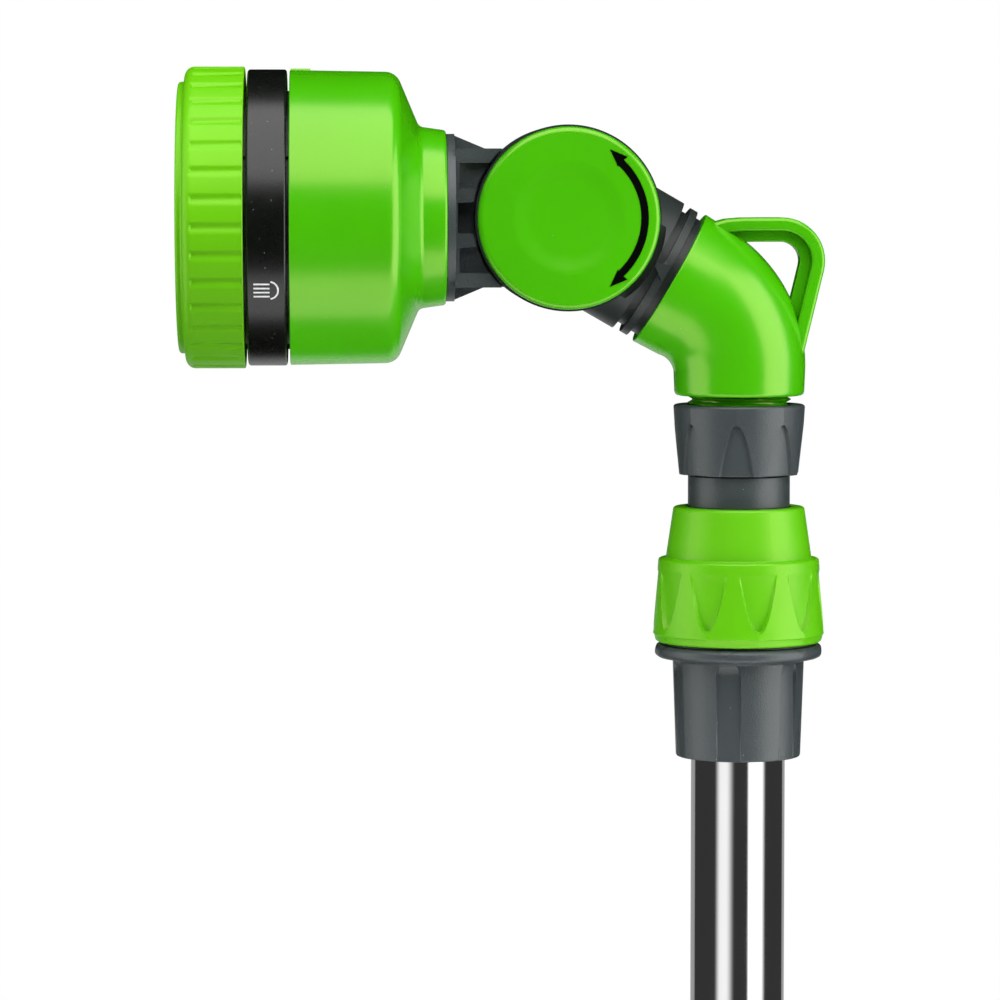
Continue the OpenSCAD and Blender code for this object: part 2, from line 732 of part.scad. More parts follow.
module union_washer() {
    color(rubber_black) down_from_pivot() pipe(12.4, 8.2, -tail_top + fit, -thread_end - fit);
}

module union_tail() {
    color(graphite) down_from_pivot() difference() {
        union() {
            rod(12.6, -tail_top - tail_flange_t, -tail_top);
            rod(10.6, -tube_top + fit, -tail_top);
            rod(inner_in_r - fit, -tube_top - 12, -tail_top);
        }
        rod(6.6, -tube_top - 13, -tail_top + 1);
    }
}

module tail_collar() {
    color(graphite) down_from_pivot() difference() {
        turned([[0, -collar_top], [collar_r - 0.3, -collar_top], [collar_r, -collar_top - 0.3],
                [collar_r, -collar_bottom + 0.5], [collar_r - 0.5, -collar_bottom], [0, -collar_bottom]]);
        rod(10.6 + fit, -tube_top, -collar_top + 1);
        rod(inner_tube_r + fit, -collar_bottom - 1, -collar_top + 1);
    }
}

module inner_tube() {
    color(polished) pipe(inner_tube_r, inner_in_r, inner_bottom, inner_top);
}

// Plug at the foot of the inner tube that seals and guides it in the outer tube
module slide_piston() {
    r = outer_in_r - run;
    groove = r - 1.95;
    color(graphite) translate([0, 0, piston_bottom]) difference() {
        turned([[6.6, 0], [r - 0.6, 0], [r, 0.6], [r, 2.6], [groove, 2.6], [groove, 4.8], [r, 4.8],
                [r, 8.2], [groove, 8.2], [groove, 10.4], [r, 10.4], [r, piston_h - fit],
                [inner_in_r - fit, piston_h - fit], [inner_in_r - fit, piston_h + 12], [6.6, piston_h + 12]]);
    }
}

module piston_seals() {
    color(rubber_black) for (level = [3.7, 9.3])
        seal_ring(outer_in_r - 1.2, 0.98, piston_bottom + level);
}

// ---- Twist lock ----

module lock_nut() {
    scallop_r = 5;
    color(lime) down_from_pivot() difference() {
        turned([[collar_r + 0.4, -lock_top], [16.1, -lock_top], [16.7, -lock_top - 0.6],
                [18.6, -lock_skirt + 0.3], [20, -lock_skirt], [20.5, -lock_skirt - 0.5],
                [lock_r, -lock_bottom + 2.6], [lock_r, -lock_bottom + 1], [20.3, -lock_bottom],
                [body_neck_r + run, -lock_bottom], [body_neck_r + run, -body_neck_top],
                [collet_r + run, -body_neck_top], [collet_r - 2, -collet_top + 0.2],
                [inner_tube_r + 0.6, -collet_top + 0.2], [inner_tube_r + 0.6, -lock_top - 1.6],
                [collar_r + 0.4, -lock_top - 1.6]]);
        around(lock_scallops, -90 + 8) translate([lock_r + 3.6, 0, -lock_bottom + 3.7])
            turned([[0, 0], [2.6, 0.6], [4.3, 2], [scallop_r, 4.4], [scallop_r - 0.4, 13.5], [0, 16]]);
    }
}

// Split ring that the lock nut squeezes on to the inner tube
module lock_collet() {
    z0 = -body_neck_top + 0.1;
    z1 = -collet_top - 0.3;
    slit = 1.2;
    color(ivory) down_from_pivot() difference() {
        turned([[inner_tube_r + run, z0], [collet_r, z0], [collet_r, z0 + 0.6], [collet_r - 2.2, z1],
                [inner_tube_r + run, z1]]);
        around(6) translate([0, -slit / 2, z0 + 2]) cube([collet_r + 2, slit, 20]);
        translate([0, -slit / 2, z0 - 1]) cube([collet_r + 2, slit, 20]);
    }
}

module lock_ring() {
    color(jet_black) down_from_pivot() pipe(19.9, body_neck_r + 0.1, -lock_body_top + 0.02, -lock_body_top + ring_t);
}

module lock_body() {
    flange_bottom = -lock_body_top - lock_flange_t;
    foot = -lock_body_bottom;
    top_r = 16.8;
    foot_r = 15.9;
    color(graphite) down_from_pivot() difference() {
        turned(concat(
            [[inner_tube_r + 0.35, -body_neck_top], [body_neck_r, -body_neck_top], [body_neck_r, -lock_body_top]],
            arc(lock_flange_r - 1, -lock_body_top - 1, 1, 90, 0, 3),
            arc(lock_flange_r - 1, flange_bottom + 1, 1, 0, -90, 3),
            [[top_r + 1.2, flange_bottom], [top_r, flange_bottom - 1.6], [foot_r, foot + 0.4],
             [foot_r - 0.4, foot], [outer_tube_r + fit, foot], [outer_tube_r + fit, -lock_body_top + 4.1],
             [inner_tube_r + 0.35, -lock_body_top + 4.1]]));
        around(pocket_count, -90 - 24.9)
            translate([0, 0, foot - 1]) rotate_extrude(angle = pocket_span, $fn = fine)
                translate([foot_r, 0]) square([5, flange_bottom - 2 - foot + 1]);
    }
}

module outer_tube() {
    color(polished) pipe(outer_tube_r, outer_in_r, outer_bottom, outer_top);
}

// ---- Handle ----

module tube_gland() {
    color(lime) difference() {
        turned([[outer_tube_r + 0.1, handle_top + 0.1], [16.6, handle_top + 0.1], [17, handle_top + 0.5],
                [17, handle_top + 6], [14.6, handle_top + 15], [13.6, handle_top + 16],
                [outer_tube_r + 0.1, handle_top + 16]]);
        around(8) translate([20.4, 0, 0]) rod(4, handle_top + 1.5, handle_top + 20);
    }
}

module tube_seal() {
    color(rubber_black) seal_ring(outer_tube_r + 1.1, 1, handle_top - 1.2);
}

module handle_core() {
    socket = 20.1;
    color(graphite) difference() {
        turned([[8, valve_top - core_spigot], [core_r - 0.6, valve_top - core_spigot], [core_r - 0.6, valve_top],
                [16, valve_top], [16.6, valve_top + 0.6], [16.6, sleeve_bottom - 0.1], [core_r, sleeve_bottom - 0.1],
                [core_r, sleeve_top + 0.1], [17.2, sleeve_top + 0.1], [17.2, handle_top - 0.6], [16.6, handle_top],
                [14.2, handle_top], [14.2, handle_top - 2.4], [outer_tube_r + fit, handle_top - 2.4],
                [outer_tube_r + fit, handle_top - socket], [8, handle_top - socket]]);
    }
}

module grip_sleeve() {
    rings = 14;
    pitch = grip_length / rings;
    ridge = 0.8;
    color(rubber_black) turned(concat(
        [[core_r + fit, sleeve_bottom], [sleeve_r - ridge, sleeve_bottom]],
        [for (i = [0:rings - 1], j = [0:3])
            [sleeve_r - (j == 0 || j == 3 ? ridge : 0), sleeve_bottom + i * pitch + [1, 1.8, 6.2, 7][j] * pitch / 8]],
        [[sleeve_r - ridge, sleeve_top], [core_r + fit, sleeve_top]]));
}

// ---- Valve and inlet ----

module across_valve() { translate([0, 0, ball_height]) rotate([90, 0, 0]) children(); }

module valve_body() {
    cavity_top = ball_height + 11.6;
    color(lime) difference() {
        union() {
            turned([[0, valve_bottom], [valve_r - 1, valve_bottom], [valve_r, valve_bottom + 1],
                    [valve_r, valve_top - 1], [valve_r - 1, valve_top - 0.1], [0, valve_top - 0.1]]);
            across_valve() rod(9.5, 0, lever_y - 0.8);
        }
        rod(core_r - 0.6 + fit, valve_top - core_spigot - fit, valve_top + 1);
        rod(10, valve_bottom + 8, cavity_top + 1);
        rod(13, valve_bottom - 1, valve_bottom + 8.4);
        across_valve() rod(stem_r + run, 0, lever_y + 1);
    }
}

module valve_seats() {
    color(print_white) for (side = [0, 1]) translate([0, 0, ball_height]) mirror([0, 0, side]) difference() {
        rod(9.95, 6.6, 11.5);
        rod(6.2, 6, 12);
        sphere(r = ball_r + run, $fn = fine);
    }
}

module valve_ball() {
    color(steel) translate([0, 0, ball_height]) difference() {
        sphere(r = ball_r, $fn = fine);
        rod(5.5, -ball_r - 1, ball_r + 1);
        translate([-1.5, -ball_r - 1, -5]) cube([3, 3.6, 10]);
    }
}

module valve_stem() {
    color(brass_tone) across_valve() difference() {
        union() {
            translate([-1.4, -3.4, ball_r - 2.5]) cube([2.8, 6.8, 3]);
            rod(stem_r, ball_r + 0.1, lever_y + 4.5);
        }
        difference() {
            rod(stem_r + 1, 15, 17.2);
            rod(stem_r - 1.3, 14, 18);
        }
        rod(1.3, lever_y - 4, lever_y + 5);
    }
}

module stem_seal() {
    color(rubber_black) across_valve() seal_ring(3.55, 0.75, 16.1);
}

module valve_lever() {
    hub = 8.2;
    arm_w = 11;
    thick = 5;
    color(graphite) across_valve() difference() {
        union() {
            rod(hub, lever_y, lever_y + thick + 1.5);
            translate([-arm_w / 2, 0, lever_y + 1.5]) cube([arm_w, lever_length - arm_w / 2, thick]);
            translate([0, lever_length - arm_w / 2, 0]) rod(arm_w / 2, lever_y + 1.5, lever_y + 1.5 + thick);
        }
        rod(stem_r + fit, lever_y - 1, lever_y + 4.7);
        rod(1.8, lever_y, lever_y + 10);
        rod(3.4, lever_y + 5.3, lever_y + 10);
    }
}

module lever_screw() {
    color(steel) across_valve() difference() {
        union() {
            rod(1.25, lever_y - 3, lever_y + 5.4);
            rod(3.1, lever_y + 5.4, lever_y + 7);
        }
        translate([-0.4, -2, lever_y + 6.2]) cube([0.8, 4, 2]);
        translate([-2, -0.4, lever_y + 6.2]) cube([4, 0.8, 2]);
    }
}

module inlet_nipple() {
    latch = 11;
    color(graphite) difference() {
        turned([[4.5, 0], [nipple_r, 0], [nipple_r, 2.4], [6, 2.4], [6, 5.2], [nipple_r, 5.2], [nipple_r, latch],
                [6.7, latch + 0.8], [6.7, latch + 3], [8.7, latch + 4.4], [8.7, latch + 8.5], [7.9, latch + 9.3],
                [15.4, latch + 10.4], [16, latch + 11], [16, valve_bottom - 0.2], [12.95, valve_bottom - 0.2],
                [12.95, valve_bottom + 8], [6.5, valve_bottom + 8], [6.5, valve_bottom + 5], [4.5, valve_bottom + 5]]);
        around(6) translate([18.6, 0, 0]) rod(3.6, latch + 9, valve_bottom);
    }
}

module inlet_seal() {
    color(rubber_black) seal_ring(6.82, 0.78, 3.8);
}

module inlet_strainer() {
    color(steel) difference() {
        rod(6.45, valve_bottom + 5.1, valve_bottom + 5.9);
        for (ring = [1:2])
            around(6 * ring) translate([2.2 * ring, 0, 0]) rod(0.75, valve_bottom + 5, valve_bottom + 6);
        rod(0.75, valve_bottom + 5, valve_bottom + 6);
    }
}

face_plate();
grip_ring();
icon_ring();
pattern_icons();
selector_drum();
spray_divider();
dial_screw();
dial_washer();
drum_seal();
head_housing();
distributor();
distributor_screws();
port_seal();
detent_ball();
detent_spring();
neck_nut();
neck_seal();
head_knuckle();
arm_knuckle();
pivot_pin();
pin_plug();
pivot_seals();
pivot_end_seals();
slip_washers();
pivot_screw();
pivot_clamp();
pivot_cap_front();
pivot_cap_rear();
pivot_arrow();
arm_seal();
elbow();
union_nut();
union_washer();
union_tail();
tail_collar();
inner_tube();
slide_piston();
piston_seals();
lock_nut();
lock_collet();
lock_ring();
lock_body();
outer_tube();
tube_gland();
tube_seal();
handle_core();
grip_sleeve();
valve_body();
valve_seats();
valve_ball();
valve_stem();
stem_seal();
valve_lever();
lever_screw();
inlet_nipple();
inlet_seal();
inlet_strainer();
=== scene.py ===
"""Looks of a telescopic watering lance with a tilting spray head, built around its CAD frame."""

import json
from math import atan2, ceil, cos, degrees, pi, radians, sin, sqrt, tan

import bmesh
import bpy
from mathutils import Matrix, Vector


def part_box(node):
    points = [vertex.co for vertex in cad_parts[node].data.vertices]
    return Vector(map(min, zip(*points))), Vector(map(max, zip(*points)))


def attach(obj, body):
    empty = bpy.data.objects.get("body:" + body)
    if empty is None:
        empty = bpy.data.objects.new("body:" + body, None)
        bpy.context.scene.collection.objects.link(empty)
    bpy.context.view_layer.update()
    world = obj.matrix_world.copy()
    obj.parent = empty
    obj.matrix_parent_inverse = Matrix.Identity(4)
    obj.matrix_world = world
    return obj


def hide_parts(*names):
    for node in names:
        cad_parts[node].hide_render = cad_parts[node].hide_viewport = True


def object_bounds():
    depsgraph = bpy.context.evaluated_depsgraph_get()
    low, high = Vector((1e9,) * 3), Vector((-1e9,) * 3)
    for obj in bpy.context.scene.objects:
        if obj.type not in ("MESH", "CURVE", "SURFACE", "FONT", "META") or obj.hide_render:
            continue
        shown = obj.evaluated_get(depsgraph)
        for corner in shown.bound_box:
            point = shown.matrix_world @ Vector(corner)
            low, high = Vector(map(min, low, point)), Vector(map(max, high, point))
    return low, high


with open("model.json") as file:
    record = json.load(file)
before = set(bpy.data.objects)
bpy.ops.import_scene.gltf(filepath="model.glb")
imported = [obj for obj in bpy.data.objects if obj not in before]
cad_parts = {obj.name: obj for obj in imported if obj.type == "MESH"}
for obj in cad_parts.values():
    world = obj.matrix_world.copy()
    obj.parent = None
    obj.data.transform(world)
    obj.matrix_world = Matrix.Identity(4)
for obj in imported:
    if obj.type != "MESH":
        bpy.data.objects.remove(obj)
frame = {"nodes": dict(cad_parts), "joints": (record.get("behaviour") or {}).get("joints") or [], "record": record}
cad_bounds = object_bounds()

# ---------------------------------------------------------------- places
# Shapes are written in millimetres in local frames. HEAD runs from the tilt pivot to the spray face,
# PRINT_SIDE and REAR_SIDE run out through the two pivot caps, STEM stands on the tube's axis at the
# pivot's height, and BASE stands on the floor.

MM = Matrix.Scale(0.001, 4)
JOINTS = {joint["name"]: joint for joint in frame["joints"]}
PIVOT = Vector(JOINTS["head_tilt"]["pos_m"])
TUBE_TOP = Vector((0, 0, PIVOT.z))

HEAD = Matrix.Translation(PIVOT) @ Matrix.Rotation(radians(-90), 4, "Y") @ MM
PRINT_SIDE = Matrix.Translation(PIVOT) @ Matrix.Rotation(radians(90), 4, "X") @ MM
REAR_SIDE = Matrix.Translation(PIVOT) @ Matrix.Rotation(radians(-90), 4, "X") @ MM
STEM = Matrix.Translation(TUBE_TOP) @ MM
BASE = MM


def box_mm(node):
    """A CAD node's lowest and highest corners in millimetres."""
    low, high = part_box(node)
    return low * 1000, high * 1000


def depths(node):
    """A CAD node's top and bottom, in millimetres above the pivot's height."""
    low, high = box_mm(node)
    return high.z - PIVOT.z * 1000, low.z - PIVOT.z * 1000


def radius_of(node):
    """Largest radius of a CAD node that is round about the tube's axis, in millimetres."""
    low, high = box_mm(node)
    return (high.x - low.x) / 2


def head_radius(node):
    """Largest radius of a CAD node that is round about the head's axis, in millimetres."""
    low, high = box_mm(node)
    return (high.z - low.z) / 2


def stations(node):
    """A CAD node's start and end along the head's axis, in millimetres from the pivot."""
    low, high = box_mm(node)
    return PIVOT.x * 1000 - high.x, PIVOT.x * 1000 - low.x


# ---------------------------------------------------------------- mesh tools

def clamped(share):
    return min(1, max(0, share))


def circle_arc(centre, radius, start, end, steps):
    """Points on an arc between two angles in degrees."""
    angles = [radians(start + (end - start) * i / steps) for i in range(steps + 1)]
    return [(centre[0] + radius * cos(a), centre[1] + radius * sin(a)) for a in angles]


def rounded(points, closed=True):
    """An outline of (x, y) or (x, y, fillet radius) corners, with the fillets drawn as arcs."""
    out = []
    for i, point in enumerate(points):
        at_end = not closed and i in (0, len(points) - 1)
        if len(point) == 2 or at_end:
            out.append((point[0], point[1]))
            continue
        corner = Vector(point[:2])
        before = (Vector(points[i - 1][:2]) - corner).normalized()
        after = (Vector(points[(i + 1) % len(points)][:2]) - corner).normalized()
        half = before.angle(after) / 2
        reach = point[2] / tan(half)
        centre = corner + (before + after).normalized() * (point[2] / sin(half))
        first = corner + before * reach - centre
        last = corner + after * reach - centre
        start = atan2(first.y, first.x)
        sweep = (atan2(last.y, last.x) - start + pi) % (2 * pi) - pi
        steps = max(3, min(10, ceil(3 + point[2] * 1.5)))
        for k in range(steps + 1):
            angle = start + sweep * k / steps
            out.append((centre.x + point[2] * cos(angle), centre.y + point[2] * sin(angle)))
    return out


def grid_faces(rows, columns, wrap_rows, offset=0):
    """Quads of a grid whose columns wrap round."""
    faces = []
    for i in range(rows if wrap_rows else rows - 1):
        for j in range(columns):
            a, b = i * columns, ((i + 1) % rows) * columns
            k = (j + 1) % columns
            faces.append((offset + a + j, offset + a + k, offset + b + k, offset + b + j))
    return faces


def lathe(profile, segments=128, wrap=True):
    """A profile of (r, z) turned about z."""
    verts = []
    for r, z in profile:
        for j in range(segments):
            angle = 2 * pi * j / segments
            verts.append((r * cos(angle), r * sin(angle), z))
    return verts, grid_faces(len(profile), segments, wrap)


def carved(profile, count, phase, offsets, depth):
    """A turned profile of (r, z, carve) with count equal carvings.

    offsets(z) gives the angles of one period's columns, and depth(column, z) how deep each lies."""
    verts = []
    columns = len(offsets(profile[0][1]))
    for r, z, carve in profile:
        angles = offsets(z)
        for k in range(count):
            for j, angle in enumerate(angles):
                turn = radians(phase + 360 * k / count + angle)
                at = r - (depth(j, z) if carve else 0)
                verts.append((at * cos(turn), at * sin(turn), z))
    return verts, grid_faces(len(profile), count * columns, True)


def carve_rows(outline, start, outside_r, wall):
    """Rows for carved(): the wall's (r, z) go in where the outline's outside first drops below start."""
    rows, placed = [], False
    for r, z in outline:
        outside = r > outside_r and z < start
        if outside and not placed:
            rows += [(*row, True) for row in wall]
            placed = True
        rows.append((r, z, outside))
    return rows


def swept(stations_3d, section):
    """A closed section swept along (origin, side, up) stations, with flat ends."""
    count, last = len(section), len(stations_3d) - 1
    verts = [tuple(origin + side * x + up * y) for origin, side, up in stations_3d for x, y in section]
    faces = grid_faces(len(stations_3d), count, False)
    faces += [tuple(reversed(range(count))), tuple(range(last * count, (last + 1) * count))]
    return verts, faces


def prism(outline, low, high):
    """An outline in x and y, extruded along z."""
    count = len(outline)
    verts = [(x, y, z) for z in (low, high) for x, y in outline]
    faces = [tuple(reversed(range(count))), tuple(range(count, 2 * count))]
    faces += [(i, (i + 1) % count, count + (i + 1) % count, count + i) for i in range(count)]
    return verts, faces


def joined(*shapes):
    """Several (verts, faces) shapes as one."""
    verts, faces = [], []
    for shape_verts, shape_faces in shapes:
        start = len(verts)
        verts += list(shape_verts)
        faces += [tuple(start + i for i in face) for face in shape_faces]
    return verts, faces


def turned_about_z(shape, angle, shift=(0, 0, 0)):
    """A shape moved by shift and then turned about z by an angle in degrees."""
    move = Matrix.Rotation(radians(angle), 4, "Z") @ Matrix.Translation(Vector(shift))
    return [tuple(move @ Vector(v)) for v in shape[0]], shape[1]


def finish_mesh(mesh, sharp):
    """Merges doubled points, turns the faces outwards and smooths all but the sharp edges."""
    work = bmesh.new()
    work.from_mesh(mesh)
    bmesh.ops.remove_doubles(work, verts=work.verts, dist=2e-6)
    bmesh.ops.dissolve_degenerate(work, edges=work.edges, dist=1e-6)
    bmesh.ops.recalc_face_normals(work, faces=work.faces)
    work.to_mesh(mesh)
    work.free()
    mesh.shade_smooth()
    mesh.set_sharp_from_angle(angle=radians(sharp))


def add_piece(name, mesh, body, nodes, finish):
    """Puts a finished mesh in the scene, on its body, in place of its CAD nodes."""
    obj = bpy.data.objects.new(name, mesh)
    bpy.context.scene.collection.objects.link(obj)
    mesh.materials.clear()
    mesh.materials.append(finish["material"])
    weighted = obj.modifiers.new("even shading", "WEIGHTED_NORMAL")
    weighted.keep_sharp = True
    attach(obj, body)
    if nodes:
        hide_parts(*nodes)
    return obj


def piece(name, shape, place, body, nodes, finish, sharp=33):
    """A visible piece from (verts, faces) in one of the local frames."""
    verts, faces = shape
    mesh = bpy.data.meshes.new(name)
    mesh.from_pydata([tuple(place @ Vector(v)) for v in verts], [], faces)
    finish_mesh(mesh, sharp)
    return add_piece(name, mesh, body, nodes, finish)


def softened(name, node, body, finish, width=0.3, sharp=28):
    """A machined or moulded CAD shape with its hard edges rounded."""
    mesh = frame["nodes"][node].data.copy()
    work = bmesh.new()
    work.from_mesh(mesh)
    bmesh.ops.remove_doubles(work, verts=work.verts, dist=1e-6)
    bmesh.ops.dissolve_limit(
        work, angle_limit=radians(1), verts=work.verts, edges=work.edges, use_dissolve_boundaries=False
    )
    edges = [e for e in work.edges if len(e.link_faces) == 2 and e.calc_face_angle(0) > radians(sharp)]
    bmesh.ops.bevel(
        work, geom=edges, offset=width * 0.001, offset_type="OFFSET", segments=2, profile=0.6,
        affect="EDGES", clamp_overlap=True,
    )
    work.to_mesh(mesh)
    work.free()
    finish_mesh(mesh, sharp)
    return add_piece(name, mesh, body, [node], finish)


# ---------------------------------------------------------------- materials

def new_material(name):
    material = bpy.data.materials.new(name)
    material.use_nodes = True
    nodes, links = material.node_tree.nodes, material.node_tree.links
    return material, nodes, links, nodes["Principled BSDF"]


def noise(nodes, links, coordinates, scale, detail=3, stretch=None):
    """A noise texture in object space; stretch scales the three axes."""
    texture = nodes.new("ShaderNodeTexNoise")
    texture.inputs["Scale"].default_value = scale
    texture.inputs["Detail"].default_value = detail
    source = coordinates.outputs["Object"]
    if stretch:
        mapping = nodes.new("ShaderNodeMapping")
        mapping.inputs["Scale"].default_value = stretch
        links.new(source, mapping.inputs["Vector"])
        source = mapping.outputs["Vector"]
    links.new(source, texture.inputs["Vector"])
    return texture.outputs["Fac"]


def ranged(nodes, links, value, low, high, from_low=0.3, from_high=0.7, smooth=False):
    """Maps a value to a range, in a straight line or with soft ends."""
    node = nodes.new("ShaderNodeMapRange")
    node.interpolation_type = "SMOOTHSTEP" if smooth else "LINEAR"
    node.inputs["From Min"].default_value = from_low
    node.inputs["From Max"].default_value = from_high
    node.inputs["To Min"].default_value = low
    node.inputs["To Max"].default_value = high
    links.new(value, node.inputs["Value"])
    return node.outputs["Result"]


def multiplied(nodes, links, first, second):
    node = nodes.new("ShaderNodeMath")
    node.operation = "MULTIPLY"
    links.new(first, node.inputs[0])
    links.new(second, node.inputs[1])
    return node.outputs[0]


def mixed(nodes, links, factor, first, second):
    """Mixes two colours, either of them a colour or another node's output."""
    node = nodes.new("ShaderNodeMix")
    node.data_type = "RGBA"
    links.new(factor, node.inputs["Factor"])
    for socket, colour in ((node.inputs[6], first), (node.inputs[7], second)):
        if isinstance(colour, tuple):
            socket.default_value = (*colour, 1)
        else:
            links.new(colour, socket)
    return node.outputs[2]


def bumped(nodes, links, height, strength, distance, under=None):
    """The normal of a bump, laid over another bump's normal where one is given."""
    node = nodes.new("ShaderNodeBump")
    node.inputs["Strength"].default_value = strength
    node.inputs["Distance"].default_value = distance
    links.new(height, node.inputs["Height"])
    if under:
        links.new(under, node.inputs["Normal"])
    return node.outputs["Normal"]


def scaled(colour, factor):
    return tuple(min(1, c * factor) for c in colour)


def specks(nodes, links, coordinates, scale, size, share):
    """A mask of sparse dust specks: size in cells, share of the cells that have one."""
    cells = nodes.new("ShaderNodeTexVoronoi")
    cells.inputs["Scale"].default_value = scale
    links.new(coordinates.outputs["Object"], cells.inputs["Vector"])
    near = ranged(nodes, links, cells.outputs["Distance"], 1, 0, size * 0.6, size)
    split = nodes.new("ShaderNodeSeparateColor")
    links.new(cells.outputs["Color"], split.inputs["Color"])
    chosen = ranged(nodes, links, split.outputs["Red"], 0, 1, 1 - share, 1 - share + 0.01)
    return multiplied(nodes, links, near, chosen)


DUST = (0.28, 0.28, 0.27)
RUBBER_DUST = (0.25, 0.25, 0.24)
GLEAM = (1, 1, 0.36)


def moulded(name, colour, roughness, grain=0.05, shine=0.5, tint=(1, 1, 1), dust=0.12, slot=None):
    """Injection-moulded plastic: faint flow marks, fine grain, scuffs and dust.

    Each finish fills the slot of its own name, unless another is given."""
    material, nodes, links, shader = new_material(name)
    coordinates = nodes.new("ShaderNodeTexCoord")
    flow = ranged(nodes, links, noise(nodes, links, coordinates, 35, 2), 0, 1, 0.15, 0.85)
    base = mixed(nodes, links, flow, scaled(colour, 0.93), scaled(colour, 1.07))
    dirt = specks(nodes, links, coordinates, 620, 0.075, dust)
    links.new(mixed(nodes, links, dirt, base, DUST), shader.inputs["Base Color"])
    scuffs = noise(nodes, links, coordinates, 240, 3)
    uneven = ranged(nodes, links, scuffs, roughness - 0.02, roughness + 0.03, 0.2, 0.8)
    links.new(uneven, shader.inputs["Roughness"])
    fine = bumped(nodes, links, noise(nodes, links, coordinates, 2600, 2), grain, 0.0002)
    wavy = bumped(nodes, links, noise(nodes, links, coordinates, 60, 1), 0.03, 0.0003, fine)
    links.new(wavy, shader.inputs["Normal"])
    shader.inputs["IOR"].default_value = 1.5
    shader.inputs["Specular IOR Level"].default_value = shine
    shader.inputs["Specular Tint"].default_value = (*tint, 1)
    return {"material": material, "slot": slot or name}


def soft_rubber(name, colour, roughness=0.55):
    """Matt rubber with a fine pebbled skin."""
    material, nodes, links, shader = new_material(name)
    coordinates = nodes.new("ShaderNodeTexCoord")
    bloom = ranged(nodes, links, noise(nodes, links, coordinates, 60, 4), 0, 1)
    base = mixed(nodes, links, bloom, scaled(colour, 0.85), scaled(colour, 1.25))
    dirt = specks(nodes, links, coordinates, 280, 0.08, 0.15)
    links.new(mixed(nodes, links, dirt, base, RUBBER_DUST), shader.inputs["Base Color"])
    uneven = ranged(nodes, links, bloom, roughness - 0.05, roughness + 0.1, 0, 1)
    links.new(uneven, shader.inputs["Roughness"])
    pebbles = nodes.new("ShaderNodeTexVoronoi")
    pebbles.inputs["Scale"].default_value = 1500
    links.new(coordinates.outputs["Object"], pebbles.inputs["Vector"])
    skin = bumped(nodes, links, pebbles.outputs["Distance"], 0.25, 0.0002)
    links.new(skin, shader.inputs["Normal"])
    return {"material": material, "slot": name}


def metal(name, colour, roughness, streaks=(1, 1, 1), scratch=0.06):
    """Polished or turned metal with fine marks along its streaks."""
    material, nodes, links, shader = new_material(name)
    coordinates = nodes.new("ShaderNodeTexCoord")
    marks = noise(nodes, links, coordinates, 900, 4, streaks)
    smudge = ranged(nodes, links, noise(nodes, links, coordinates, 45, 5), 0, 1)
    links.new(mixed(nodes, links, smudge, scaled(colour, 0.96), colour), shader.inputs["Base Color"])
    shader.inputs["Metallic"].default_value = 1
    links.new(ranged(nodes, links, smudge, roughness, roughness * 1.6, 0, 1), shader.inputs["Roughness"])
    links.new(bumped(nodes, links, marks, scratch, 0.00005), shader.inputs["Normal"])
    return {"material": material, "slot": name}


def printed(name, colour):
    """Pad-printed ink with a slightly uneven film."""
    material, nodes, links, shader = new_material(name)
    coordinates = nodes.new("ShaderNodeTexCoord")
    film = ranged(nodes, links, noise(nodes, links, coordinates, 1200, 3), 0, 1)
    links.new(mixed(nodes, links, film, scaled(colour, 0.9), colour), shader.inputs["Base Color"])
    links.new(ranged(nodes, links, film, 0.5, 0.62, 0, 1), shader.inputs["Roughness"])
    shader.inputs["Specular IOR Level"].default_value = 0.03
    return {"material": material, "slot": name}


GREEN = moulded("green_plastic", (0.041, 0.325, 0.0003), 0.24, shine=1.0, tint=GLEAM, dust=0.05)
LIGHT_GREEN = moulded("light_green_plastic", (0.076, 0.36, 0.0005), 0.36, shine=0.7, tint=GLEAM, dust=0.05)
DIAL_GREEN = moulded("dial_plastic", (0.104, 0.43, 0.0005), 0.4, tint=GLEAM, dust=0.05,
                     slot="light_green_plastic")
GRAPHITE = moulded("graphite_plastic", (0.035, 0.043, 0.045), 0.35, grain=0.45, dust=0.16)
# A darker copy of the graphite for the arm's knuckle: painted shade in the base colour, standing in for the shade
# that falls on the knuckle, on the same plastic as the rest.
SHADED_GRAPHITE = moulded("knuckle_shaded_plastic", (0.018, 0.023, 0.021), 0.35, grain=0.2, shine=0.36,
                        slot="graphite_plastic")
BLACK = moulded("black_plastic", (0.0022, 0.003, 0.002), 0.27, dust=0.55)
IVORY = moulded("ivory_plastic", (0.70, 0.67, 0.56), 0.42)
SEAT = moulded("seat_plastic", (0.82, 0.82, 0.80), 0.38)
INK_WHITE = printed("white_print", (0.56, 0.57, 0.56))
INK_BLACK = printed("black_print", (0.0006, 0.001, 0.0006))
GRIP = soft_rubber("soft_grip", (0.018, 0.019, 0.020))
RUBBER = soft_rubber("rubber", (0.010, 0.010, 0.010), 0.5)
TUBE = metal("polished_tube", (0.62, 0.62, 0.62), 0.07, (1, 1, 0.02))
STEEL = metal("steel", (0.62, 0.62, 0.61), 0.26)
BRASS = metal("brass", (0.70, 0.50, 0.20), 0.24)

FINISHES = {finish["slot"]: finish for finish in (
    GREEN, LIGHT_GREEN, GRAPHITE, BLACK, IVORY, SEAT, INK_WHITE, INK_BLACK, GRIP, RUBBER, TUBE, STEEL,
    BRASS)}
for subpart in frame["record"]["subparts"]:
    cad_object = frame["nodes"][subpart["node"]]
    cad_object.data.materials.clear()
    cad_object.data.materials.append(FINISHES[subpart["material_slot"]]["material"])


# ---------------------------------------------------------------- spray dial

DIAL_BORE_R = 32.05

# Pieces that the light from below leaves out, besides the tubes and the floor.
MATT = []


